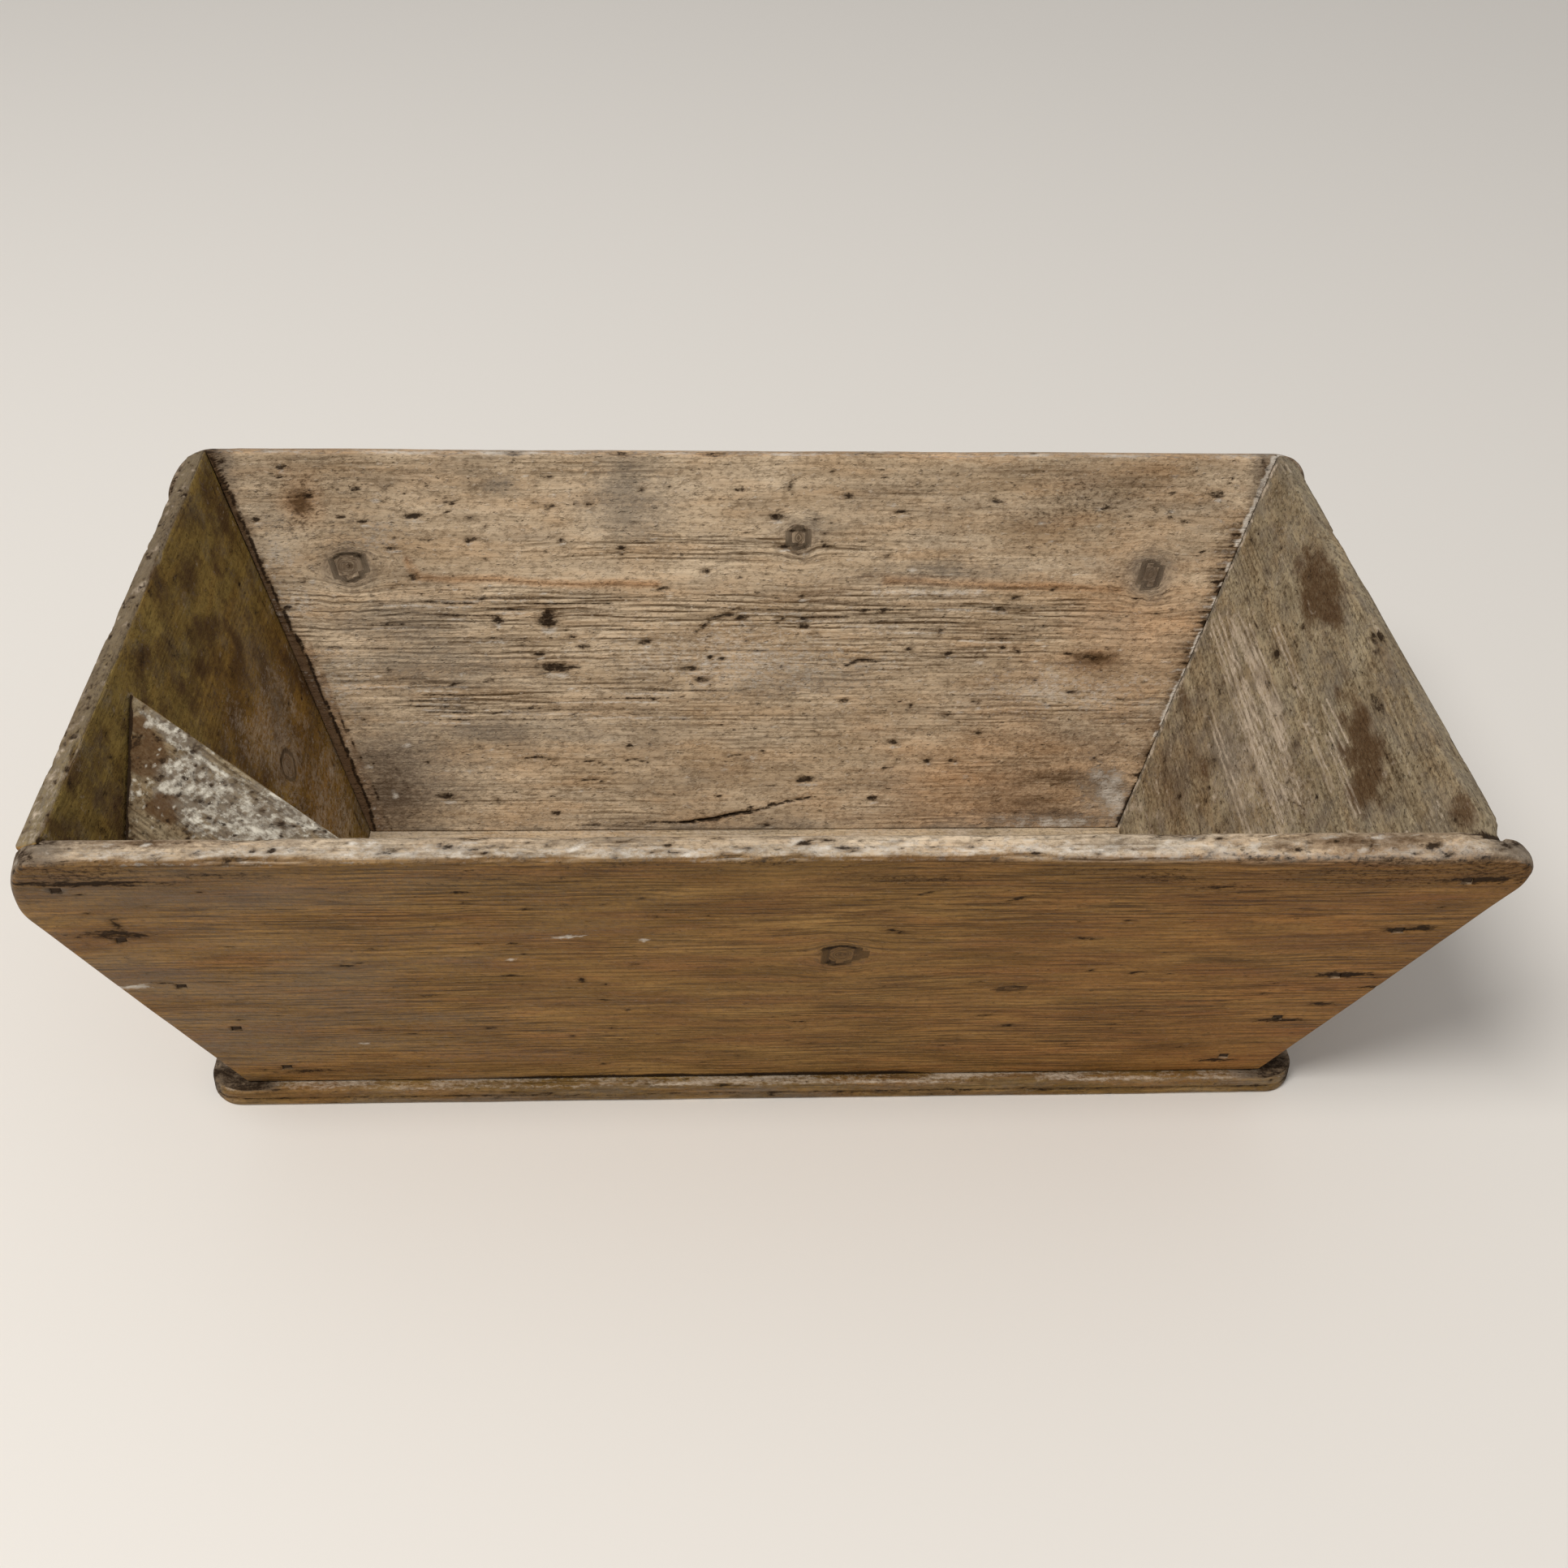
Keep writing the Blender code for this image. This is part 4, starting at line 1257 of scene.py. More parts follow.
def front_dip(u, w):
    """How far wear has taken the front rim down, in mm: a little along it, more at the right tip
    and along the outer arris towards it."""
    waves = 0.2 * (1 + cloud(u / 90, w * 0, 81, 2))
    tip = 7.0 * ease(366, 400, u) * ease(-2, -14, w) + 0.8 * ease(384, 402, u)
    return waves + tip + 4.5 * ease(190, 390, u) * ease(-10, -1, w)


# Dense late wood on the back's inner face: place, half length and half height.
BACK_LINED = (
    (200, 93, 55, 12), (150, 158, 120, 14), (-120, 158, 130, 12), (0, 160, 120, 10), (20, 205, 110, 8),
)

# Stains on the back: mark, strength, raggedness, place, half length and half height. The first six dark rows
# are broad painted shade: darker low down, in the top corners and along the top.
BACK_STAINS = (
    ("dark", 0.47, 0.5, 310, 235, 85, 40), ("dark", 0.42, 0.5, -240, 245, 140, 40),
    ("dark", 0.34, 0.5, 265, 20, 75, 50), ("dark", 0.34, 0.5, -235, 25, 70, 30),
    ("dark", 0.32, 0.5, 20, 20, 190, 40), ("dark", 0.25, 0.5, 40, 262, 300, 8),
    ("dark", 0.8, 0.6, -254, 125, 10, 2),
    ("red", 1.0, 0.4, 318, 237, 7, 12), ("red", 1.0, 0.5, -258, 124, 20, 6),
    ("red", 0.62, 0.5, 262, 24, 26, 30), ("red", 0.7, 0.5, -240, 34, 44, 9),
    ("pale", 0.38, 0.6, 336, 205, 14, 22), ("pale", 0.38, 0.6, 322, 165, 14, 18),
    ("pale", 0.38, 0.6, 294, 107, 18, 22), ("pale", 0.38, 0.6, 265, 215, 22, 10),
    ("pale", 0.42, 0.6, -240, 100, 62, 16), ("pale", 0.36, 0.6, 5, 122, 95, 28),
    ("grey", 0.7, 0.6, 250, 150, 44, 16), ("grey", 0.75, 0.6, 231, 119, 60, 16),
    ("grey", 0.75, 0.6, -40, 112, 44, 14), ("grey", 0.8, 0.6, 88, 248, 24, 30),
    ("grey", 0.85, 0.6, -140, 188, 40, 8), ("grey", 0.75, 0.6, 191, 71, 70, 10),
    ("grey", 0.85, 0.6, 258, 34, 46, 40), ("grey", 0.95, 0.6, -228, 2, 60, 7),
    ("grey", 0.9, 0.6, 178, 250, 10, 6), ("grey", 0.8, 0.6, -45, 222, 14, 8),
    ("amber", 0.8, 0.6, -292, 150, 40, 40), ("amber", 0.8, 0.6, -200, 20, 90, 44),
    ("amber", 0.9, 0.5, 318, 237, 12, 16), ("amber", 0.9, 0.5, -258, 124, 26, 9),
)

# Holes in the back, each with a painted highlight on its lower edge: place, half length and half height.
BACK_HOLES = (
    (145, 154, 6, 6), (140, 118, 12, 3.4), (151, 128, 4, 1.8), (43, 117, 6, 2.2), (34, 109, 5, 2.2),
    (182, 153, 4, 2.8), (240, 184, 4, 2.0), (62, 177, 4, 1.6), (32, 189, 3.2, 2.0), (92, 206, 3, 2),
    (-20, 228, 6, 2.4), (-24, 207, 5, 2.0), (200, 211, 3.2, 2.0), (136, 211, 2.4, 1.6),
    (152, 236, 2.4, 2.2), (114, 236, 2.6, 2.2), (238, 228, 5, 2.4), (-110, 232, 5, 2.0),
    (-183, 161, 6, 1.4), (-195, 170, 4, 1.6), (-147, 128, 4, 1.4), (-187, 133, 3, 1.8),
    (-70, 93, 3.4, 1.8), (-107, 61, 5, 2.0), (-133, 47, 2.6, 1.8), (-153, 47, 3, 1.6),
    (-43, 33, 9, 2.6), (-93, 18, 4, 1.8), (-14, -2, 4, 1.6), (312, 241, 3, 2.0),
    (-40, 171, 4, 2), (330, 262, 3, 2), (274, 224, 5, 2), (255, 205, 5, 1.6), (350, 225, 4, 1.6),
    (-340, 245, 5, 2.4), (75, 137, 3, 2), (5, 155, 5, 2), (-40, 149, 4, 2), (222, 21, 6, 2.6),
)

# Short bent scratches on the back: place and half length.
BACK_SCRATCHES = ((153, 50, 10), (114, 47, 8), (82, 48, 9), (114, 33, 8), (7, 51, 7), (75, 136, 6))

# Cracks and streaks on the back: mark, strength, width, depth, length of their waves, and path.
BACK_CRACKS = (
    ("dark", 0.8, 1.6, 0.9, 6, ((37, 145), (26, 156), (9, 157))),
    ("dark", 0.85, 1.2, 0.9, 6, ((-72, 119), (-82, 124), (-94, 123))),
    ("dark", 0.8, 1.3, 0.5, 6, ((-29, 258), (-29, 247))),
    ("dark", 0.95, 0.9, 1.6, 6, ((127, -1), (49, 0), (16, 5), (-4, 9), (-46, 20))),
    ("dark", 1.0, 1.3, 2.2, 6, ((49, 0), (16, 5), (-4, 9))),
    ("pale", 1.0, 0.9, 0, 6, ((-206, 205), (-206, 194))),
    ("pale", 1.0, 1.0, 0, 6, ((260, 26), (260, 21))),
    ("pale", 0.55, 2.2, 0, 40, ((-90, 174), (-140, 172), (-170, 173))),
    ("red", 0.7, 0.9, 0.2, 30, ((245, 199), (238, 184), (205, 183), (150, 180.5), (66, 178))),
    ("red", 0.7, 1.1, 0.2, 40, ((-100, 181), (-150, 178), (-195, 176), (-230, 178), (-273, 176))),
    ("red", 0.6, 1.0, 0, 40, ((-60, 184), (-110, 187), (-150, 184))),
    ("red", 0.7, 0.9, 0.2, 30, ((-30, 168), (-70, 166), (-110, 168))),
    ("amber", 1.0, 2.4, 0, 30, ((245, 196), (238, 184), (205, 184), (150, 181.5), (66, 179))),
    ("amber", 1.0, 3.0, 0, 40, ((-100, 182), (-150, 179), (-195, 177), (-230, 179), (-273, 177))),
)

# Worn dark lines of grain on the back, each with a painted highlight line just below it: start and end along
# it, height and strength.
BACK_GRAIN = (
    (246, 155, 103.5, 0.66), (238, 149, 98, 0.74), (250, 140, 93.5, 0.7), (243, 152, 89, 0.76),
    (236, 146, 85, 0.72), (262, 120, 80, 0.58), (300, 60, 107, 0.52), (150, -60, 95, 0.52),
    (180, 20, 87, 0.5), (140, -100, 83, 0.5), (269, 100, 166, 0.7), (191, 115, 161, 0.72),
    (223, 183, 157, 0.7), (276, 206, 150, 0.66), (315, 259, 133, 0.7), (206, 130, 140, 0.64),
    (101, -12, 101, 0.66), (13, -120, 161, 0.7), (-20, -150, 156, 0.66), (-60, -190, 151, 0.64),
    (20, -60, 131, 0.6), (-130, -250, 163, 0.66), (230, 60, 170, 0.56), (-150, -260, 140, 0.54),
    (-90, -220, 146, 0.56),
)

# Width of the grime along the back's left seam by height, and how far off its second line runs.
LEFT_GRIME = ((-6, 16, 48, 92, 134, 150, 184, 214, 250, 270), (4, 7, 8, 8, 8.4, 6.2, 4.2, 4.2, 4.5, 2.2))
LEFT_LINE = ((0, 40, 84, 120), (16.2, 16, 13.8, 12.8))


def back_face(s):
    """The back's inner face: scrubbed wood with three knots, holes, cracks, worn grain and stains, painted
    highlights below the holes and the grain lines, and broad painted shade.
    """
    inner = s.side[INNER]
    for u, v, half, high in BACK_LINED:
        s.lay("lined", ease(0.2, 0.6, s.blot(INNER, (u, v), (half, high), 0.4)))
    s.knot(INNER, (287, 192), 9.5, 0.35, 0.75, 0.62)
    s.knot(INNER, (-36, 213), 8, 0.5, 0.6, 0.5, 0.8)
    s.knot(INNER, (-294, 187), 10, 0.1, 1.0, 0.4, 0.85, 0.6)
    for u, v, half, high in BACK_HOLES:
        s.pit(INNER, (u, v), (half, high), 1.3, 0, 0.9)
        # Painted highlight on the hole's lower edge.
        s.pit(INNER, (u - 1, v - 1.6 * high), (half * 0.7, 0.5 * high), 0, 0, 0.8, "pale")
    for u, v, half in BACK_SCRATCHES:
        s.streak(INNER, ((u - half, v - 2), (u, v + 1.5), (u + half, v)), 1.0, 0.5, 0.75)
    for mark, strength, width, depth, wave, path in BACK_CRACKS:
        s.streak(INNER, path, width, depth, strength, mark, wave)
    for start, end, v, strength in BACK_GRAIN:
        early, middle = start * 0.8 + end * 0.2, start * 0.6 + end * 0.4
        s.streak(INNER, ((start, v), (end, v - 0.6)), 0.8, 0.5, strength - 0.06, "dark", 30)
        s.streak(INNER, ((early, v), (middle, v - 0.2)), 1.0, 0.2, strength + 0.06, "dark", 30)
        # Painted highlight: a pale line just below the dark one.
        s.streak(INNER, ((start - 6, v - 2.6), (middle, v - 3.0)), 0.9, 0, 0.6, "pale", 30)
    s.pecks(INNER, 330, 23, (-370, 4, 370, 262), (0.8, 1.9, 3.0), 0.8, 0.9)
    s.pecks(INNER, 210, 24, (-370, 4, 370, 262), (0.8, 1.7, 2.4), 0.0, 0.85, "pale")
    s.pecks(INNER, 60, 87, (190, 190, 345, 262), (0.9, 2.2, 2.4), 0.7, 0.85)
    s.pecks(INNER, 60, 88, (-210, 85, 140, 165), (0.9, 2.0, 2.2), 0.8, 0.85)
    # Lays the stains, and the broad painted shade of the first six dark rows.
    s.stains(INNER, BACK_STAINS)
    warm = ease(-60, -230, s.u) * s.patchy(INNER, 0.55, 0.8, (60, 16), 86) * inner
    s.lay("red", warm * ease(330, 60, s.v), 0.5)
    s.lay("amber", warm * s.patchy(INNER, 0.6, 0.5, (30, 12), 122), 0.5)


def back_left_seam(s, gap):
    """Grime along the back's left seam, with a knife-cut edge, a second line and pale flakes."""
    left = ease(0, 20, s.u) * s.side[INNER]
    past = gap - np.interp(s.v, *LEFT_GRIME) - 1.1 * cloud(s.v / 2.6, s.u * 0, 101, 3)
    s.dark *= 1 - 0.8 * left * ease(2, 0, past)
    smear = np.clip(0.75 + 0.6 * cloud(s.v / 8, s.u / 4, 110), 0, 1) * ease(165, 130, s.v)
    s.lay("red", left * ease(17.5, 15.5, gap) * smear, 0.5)
    s.lay("amber", left * ease(19, 14, gap) * smear, 0.6)
    s.lay("red", left * ease(1.5, -1.5, past), 0.95)
    s.lay("grey", left * ease(1.5, -1.5, past), 0.5)
    knife = near_line(past, 2.8 + 1.6 * cloud(s.v / 4, s.u * 0, 102, 2))
    s.lay("dark", left * knife, 0.95)
    second = near_line(gap - np.interp(s.v, *LEFT_LINE) - 0.6 * swell(s.v / 25, s.u * 0, 103), 2.0)
    broken = ease(110, 80, s.v) * ease(-1.0, -0.2, cloud(s.v / 8, s.u * 0, 104, 2))
    s.lay("dark", left * second * broken, 0.72)
    flakes = near_line(past - 4, 3) * ease(0.1, 0.5, cloud(s.v / 3, s.u / 3, 119, 2))
    s.lay("pale", left * flakes * ease(240, 200, s.v), 0.6)


def back_right_seam(s, gap):
    """Torn grain along the back's right seam, filler in it and a pale crust in the low corner."""
    right = ease(0, -20, s.u) * s.side[INNER]
    teeth = np.sin(s.v * 0.78 + 2.2 * swell(s.v / 14, s.v * 0, 25))
    reach = 14 + 8 * swell(s.v / 7, s.v * 0, 26)
    comb = np.clip(1.3 - gap / reach, 0, 1) * right * ease(60, 100, s.v) * ease(245, 215, s.v)
    s.lay("dark", comb * ease(0.35, 0.9, -teeth), 0.74)
    s.lay("red", comb * ease(-0.4, 0.2, teeth), 0.7)
    s.lay("pale", comb * ease(0.3, 0.7, teeth), 0.45)
    s.lay("lined", comb)
    wide = 1.3 + 0.9 * ease(205, 235, s.v) + 0.5 * swell(s.v / 5, s.v * 0, 111)
    low = ease(-0.35, 0.2, swell(s.v / 6, s.v * 0, 27)) * ease(30, 60, s.v)
    filler = ease(2.2 * wide, 1.7 * wide, gap) * right * np.maximum(ease(205, 222, s.v), low)
    s.lay("pale", filler)
    s.dark *= 1 - 0.95 * filler
    crust = np.maximum(
        s.blot(INNER, (-272, 16), (15, 26), 0.6, -0.35), s.blot(INNER, (-240, -1), (40, 5), 0.6)
    )
    s.lay("grey", crust)
    s.lay("pale", crust * s.patchy(INNER, 0.75, 0.8, (9, 9), 89), 0.85)


def back_features(s, plan):
    """All of the back board: its grain, inner face, seams, rim, dark tips and plain outer face."""
    middle = ease(60, 85, s.v) * ease(190, 172, s.v)
    pine_rings(s, -260, 8, 1.6, 21, 0.0, 0.14 + 0.36 * middle)
    s.hollow(0.4, (60, 30), 22)
    back_face(s)
    gap = seam_darkening(s, plan)
    back_left_seam(s, gap)
    back_right_seam(s, gap)
    worn_rim(s, 28, 0.6, 0.5, 0.5)
    arris = s.arris[INNER]
    # Pale along the inner arris: wood worn bare, with painted highlights in places.
    s.lay("pale", np.clip(arris, 0, 1) * np.clip(0.4 + 0.7 * cloud(s.u / 26, s.v * 0, 123), 0, 1), 0.85)
    s.lay("amber", np.maximum(arris, s.side[RIM]), 0.5)
    tips = ease(352, 372, np.abs(s.u)) * ease(200, 215, s.v) * (1 - s.side[OUTER])
    s.lay("grey", tips, 0.8)
    s.lay("dark", tips * s.patchy(INNER, 0.6, 0.5, (7, 7), 98), 0.66)
    nail_stains(s, plan, OUTER, 29)
    s.knot(OUTER, (-150, 90), 8, 0.4)
    s.pecks(OUTER, 90, 30, (-380, 6, 380, 266), (0.8, 1.5, 5.0), 0.2, 0.72)


def rim_dip(u, w):
    """How far wear has taken a rim down, in mm."""
    return 0.3 + 0.22 * (1 + cloud(u / 70, w * 0, 82, 2))


def right_dip(u, w):
    """The same for the right end, with a broken corner at the front."""
    return rim_dip(u + 500, w) + 5.0 * ease(-206, -214, u)


# Blotches all over an end's inner face: mark, seed, level and strength.
LEFT_BLOTCHES = (
    ("red", 33, 0.45, 0.8), ("grey", 34, 0.2, 0.7), ("pale", 40, -0.08, 0.5), ("dark", 48, 0.22, 0.55),
)
RIGHT_BLOTCHES = (
    ("grey", 43, 0.40, 0.75), ("dark", 91, 0.12, 0.7), ("red", 92, 0.15, 0.6), ("pale", 100, -0.05, 0.5),
)

# Stains on the ends: mark, strength, raggedness, place, half length and half height.
LEFT_STAINS = (
    ("pale", 0.46, 0.7, -70, 115, 46, 44), ("pale", 0.5, 0.8, -80, 60, 40, 26),
    ("pale", 0.5, 0.8, -124, 114, 10, 30), ("pale", 0.5, 0.8, -60, 105, 26, 16),
    ("pale", 0.5, 0.8, -100, 30, 34, 20), ("pale", 0.5, 0.8, -41, 157, 16, 20),
    ("amber", 1.0, 0.6, -80, 90, 80, 80),
    ("red", 0.95, 0.5, -158, 113, 9, 26), ("red", 0.9, 0.5, -94, 247, 24, 10),
)
RIGHT_STAINS = (
    ("red", 0.95, 0.5, -197, 268, 14, 8), ("red", 0.95, 0.5, 62, 98, 14, 5),
    ("red", 0.8, 0.6, 140, 105, 20, 5), ("red", 0.7, 0.6, 92, 62, 36, 26),
    ("grey", 0.95, 0.7, 45, 122, 44, 16), ("pale", 0.5, 0.7, 0, 140, 76, 32),
    ("amber", 0.5, 0.6, 96, 80, 44, 44),
)

# Spills that have soaked into the right end: place, half length, half height and turn.
RIGHT_SPILLS = (
    (66, 251, 40, 19, 0.1), (90, 256, 16, 16, 0), (-78, 228, 42, 14, 0.1), (-108, 214, 20, 16, 0.3),
)

# Long pale scratches on the right end: both ends of each.
RIGHT_SCRATCHES = (
    (145, 171, -11, 173), (123, 174, -63, 164), (159, 166, -34, 141), (123, 183, 20, 179),
    (-11, 194, -82, 191), (-16, 214, -66, 214), (82, 159, -47, 151), (130, 178, -20, 168),
    (60, 150, -90, 140), (-40, 205, -120, 200), (90, 205, 10, 200), (100, 120, -40, 112),
    (146, 178, 3, 176), (150, 174, 0, 171), (171, 155, -29, 143), (165, 151, 10, 142), (171, 160, 40, 154),
)


def left_rim(s):
    """The left end's rim: grey, darker away from the front and most at the back, with a pale dent."""
    rim = s.side[RIM]
    worn_rim(s, 38, 0.0, 1.0, 0.42)
    s.lay("grey", rim, 0.85)
    s.lay("dark", rim * ease(-120, -190, s.u) * s.patchy(RIM, 0.5, 0.5, (9, 5), 99), 0.6)
    far = rim * ease(165, 110, s.u)
    s.pale *= 1 - 0.7 * far
    s.lay("grey", far)
    s.lay("dark", far * s.patchy(RIM, 0.8, 0.5, (12, 6), 128), 0.44)
    s.pit(RIM, (-36, -11), (7, 3), 0.8, 0, 0.9, "pale")
    s.pecks(RIM, 90, 124, (-232, -15, 232, -1), (0.9, 2.4, 2.2), 0.4, 0.9)
    s.pecks(RIM, 60, 125, (-232, -15, 232, -1), (0.9, 2.2, 2.2), 0.0, 0.9, "pale")


def left_features(s, plan):
    """All of the left end: grimed inside, paler low down and round its knot, with a plain outside."""
    pine_rings(s, -180, 14, 3.0, 31, 0.0, 0.12)
    inner = s.side[INNER]
    s.hollow(0.5, (60, 30), 32)
    for mark, seed, level, strength in LEFT_BLOTCHES:
        s.lay(mark, inner * s.patchy(INNER, level, 1, (17, 15), seed, octaves=4), strength)
    low = ease(110, 50, s.v) * inner
    s.red *= 1 - 0.4 * low
    s.dark *= 1 - 0.8 * low
    s.lay("pale", low * s.patchy(INNER, 0.5, 0.6, (20, 14), 116), 0.62)
    s.knot(INNER, (-67, 101), 10, 0.7, 0.0, 0.4, 1.2, 0.7)
    s.stains(INNER, LEFT_STAINS)
    s.lay("grey", s.blot(INNER, (-104, 140), (22, 40), 0.7, 0.4), 0.95)
    s.pecks(INNER, 130, 35, (-230, 4, 230, 262), (0.9, 2.4, 2.0), 0.6, 0.8)
    s.pecks(INNER, 80, 36, (-230, 4, 230, 262), (0.8, 2.0, 1.8), 0.0, 0.62, "pale")
    gap = end_darkening(s, plan)
    back = ease(0, -20, s.u) * inner
    s.dark *= 1 - 0.7 * back * ease(9, 4, gap)
    strip = np.clip(1.2 - np.abs(gap - 6) / 5, 0, 1) * back
    s.lay("pale", strip * np.clip(0.4 + 0.8 * cloud(s.v / 9, s.u / 4, 37), 0, 1), 0.5)
    broken = ease(-0.1, 0.4, cloud(s.v / 7, s.u * 0, 90))
    s.lay("dark", near_line(gap - 14, 4) * back * broken, 0.6)
    left_rim(s)
    s.pecks(OUTER, 50, 39, (-200, 6, 200, 266), (0.8, 1.5, 5.0), 0.2, 0.72)
    s.knot(OUTER, (60, 150), 7, 0.4)


def right_scratches(s):
    """Long pale scratches in pairs and short ones all over, on the right end's inner face."""
    draw = np.random.default_rng(105)
    for u0, v0, u1, v1 in RIGHT_SCRATCHES:
        for shift in (0, draw.uniform(3, 6)):
            path = ((u0, v0 + shift), (u1, v1 + shift))
            s.streak(INNER, path, 0.9, 0, draw.uniform(0.66, 0.95), "pale", 60)
    for _ in range(46):
        u, v = draw.uniform(-190, 170), draw.uniform(20, 255)
        turn, half = draw.normal(0, 0.7), draw.uniform(5, 16)
        du, dv = half * math.cos(turn), half * math.sin(turn)
        mark = "pale" if draw.random() < 0.6 else "dark"
        s.streak(INNER, ((u - du, v - dv), (u + du, v + dv)), 0.8, 0, 0.62, mark, 60)


def right_features(s, plan):
    """All of the right end: greyed and scratched inside, with two spills, and a plain outside."""
    pine_rings(s, -120, 12, 2.2, 41, -0.05, 0.3)
    inner, rim = s.side[INNER], s.side[RIM]
    s.hollow(0.45, (60, 30), 42)
    for mark, seed, level, strength in RIGHT_BLOTCHES:
        s.lay(mark, inner * s.patchy(INNER, level, 0.9, (18, 10), seed, octaves=4), strength)
    for u, v, half, high, turn in RIGHT_SPILLS:
        spill = s.blot(INNER, (u, v), (half, high), 0.7, turn)
        s.lay("red", ease(0.2, 0.75, spill), 0.8)
        s.lay("dark", ease(0.3, 0.8, spill), 0.36)
        s.pale *= 1 - 0.8 * ease(0.3, 0.6, spill)
    s.stains(INNER, RIGHT_STAINS)
    s.lay("pale", ease(90, 20, s.v) * inner * s.patchy(INNER, 0.4, 0.9, (12, 8), 112), 0.62)
    s.pit(INNER, (-21, 273), (7, 4), 1.6)
    s.pit(INNER, (-12, 275), (6, 3), 0.6, 0, 1.0, "pale")
    s.pit(INNER, (69, 197), (5, 3), 0.8)
    right_scratches(s)
    s.pecks(INNER, 170, 44, (-220, 4, 220, 262), (0.9, 2.4, 2.0), 0.6, 0.85)
    s.pecks(INNER, 170, 45, (-220, 4, 220, 262), (0.8, 2.0, 2.0), 0.0, 0.8, "pale")
    gap = end_darkening(s, plan)
    back = ease(0, 20, s.u) * inner
    s.dark *= 1 - 0.9 * back * ease(6, 3, gap)
    crust = ease(5.5, 3.0, gap + 1.2 * swell(s.v / 5, s.u * 0, 113)) * back
    s.lay("grey", crust, 0.8)
    s.lay("pale", crust * ease(-0.3, 0.4, swell(s.v / 4, s.u / 4, 46)), 0.8)
    low = s.blot(INNER, (157, -2), (30, 26), 0.6)
    s.lay("grey", low)
    s.lay("pale", low * s.patchy(INNER, 0.7, 0.8, (7, 6), 117), 0.75)
    worn_rim(s, 47, 0.25, 0.7, 0.2)
    s.lay("dark", rim * s.patchy(RIM, 0.1, 0.8, (22, 6), 106), 0.6)
    s.chip(INNER, 205, 8, 2.5, "pale", 0.7)
    s.lay("dark", ease(-212, -222, s.u) * np.maximum(rim, ease(250, 262, s.v)))
    s.pecks(OUTER, 50, 49, (-200, 6, 200, 266), (0.8, 1.5, 5.0), 0.2, 0.72)


def base_features(s):
    """All of the base: a split along its front edge, dark ends, a pale, dusty ledge and a band of painted
    shadow where the front board stands on it.
    """
    pine_rings(s, -60, 16, 3.0, 51)
    s.hollow(0.4, (60, 30), 52)
    front, top = s.side[FOOT], s.side[OUTER]
    out = np.abs(s.u)
    s.streak(FOOT, ((-350, -8), (-120, -9), (90, -8), (350, -8.5)), 0.9, 0.6, 0.66)
    rubbed = np.clip(0.35 + 0.7 * cloud(s.u / 18, s.v * 0, 53), 0, 1)
    s.lay("pale", front * ease(-4, -1.5, s.w) * rubbed, 0.6)
    s.lay("grey", front * s.patchy(FOOT, 0.35, 0.8, (40, 6), 58), 0.8)
    s.pecks(FOOT, 70, 54, (-345, -14, 345, -1), (0.7, 1.6, 5.0), 0.4, 0.8)
    ends = np.maximum(ease(296, 314, out) * top, ease(334, 345, out) * s.side[ENDS])
    s.lay("grey", ends, 0.95)
    s.lay("dark", ends * s.patchy(OUTER, 0.75, 0.35, (8, 8), 56), 0.78)
    ledge = ease(13, 9, s.v) * ease(325, 310, out) * top
    s.lay("pale", ledge * s.patchy(OUTER, 0.5, 0.8, (24, 4), 59), 0.85)
    # Painted shadow: a dark band on the top where the front board stands.
    s.lay("dark", ease(10.5, 12.5, s.v) * ease(17, 14, s.v) * ease(310, 290, out) * top, 0.8)
    behind = ease(14, 20, s.v) * ease(275, 270, s.v) * top
    s.lay("scrubbed", behind)
    s.lay("pale", behind * s.patchy(OUTER, 0.5, 0.6, (16, 8), 57), 0.7)


# Flour crust on the shelf: place, half length, half height and thickness.
SHELF_CRUST = (
    (-12, 74, 34, 15, 0.6), (-25, 66, 9, 10, 0.95), (30, 76, 40, 16, 0.6), (-60, 92, 26, 5, 0.6),
    (-62, 50, 14, 5, 0.5), (60, 94, 30, 6, 0.6),
)

# Bare brown patches on the shelf, place and half size; flour in streaks, place and half length; and dots.
SHELF_BARE = ((-62, 73, 15, 11), (-24, 54, 11, 7), (-82, 84, 12, 5))
SHELF_STREAKS = (
    (15, 61, 4), (21, 67, 5), (29, 75, 4), (41, 75, 6), (47, 77, 4), (58, 90, 6), (74, 94, 4), (2, 60, 4),
    (-20, 89, 18), (45, 97, 14),
)
SHELF_DOTS = ((-79, 88), (-18, 82), (-39, 79), (2, 60))


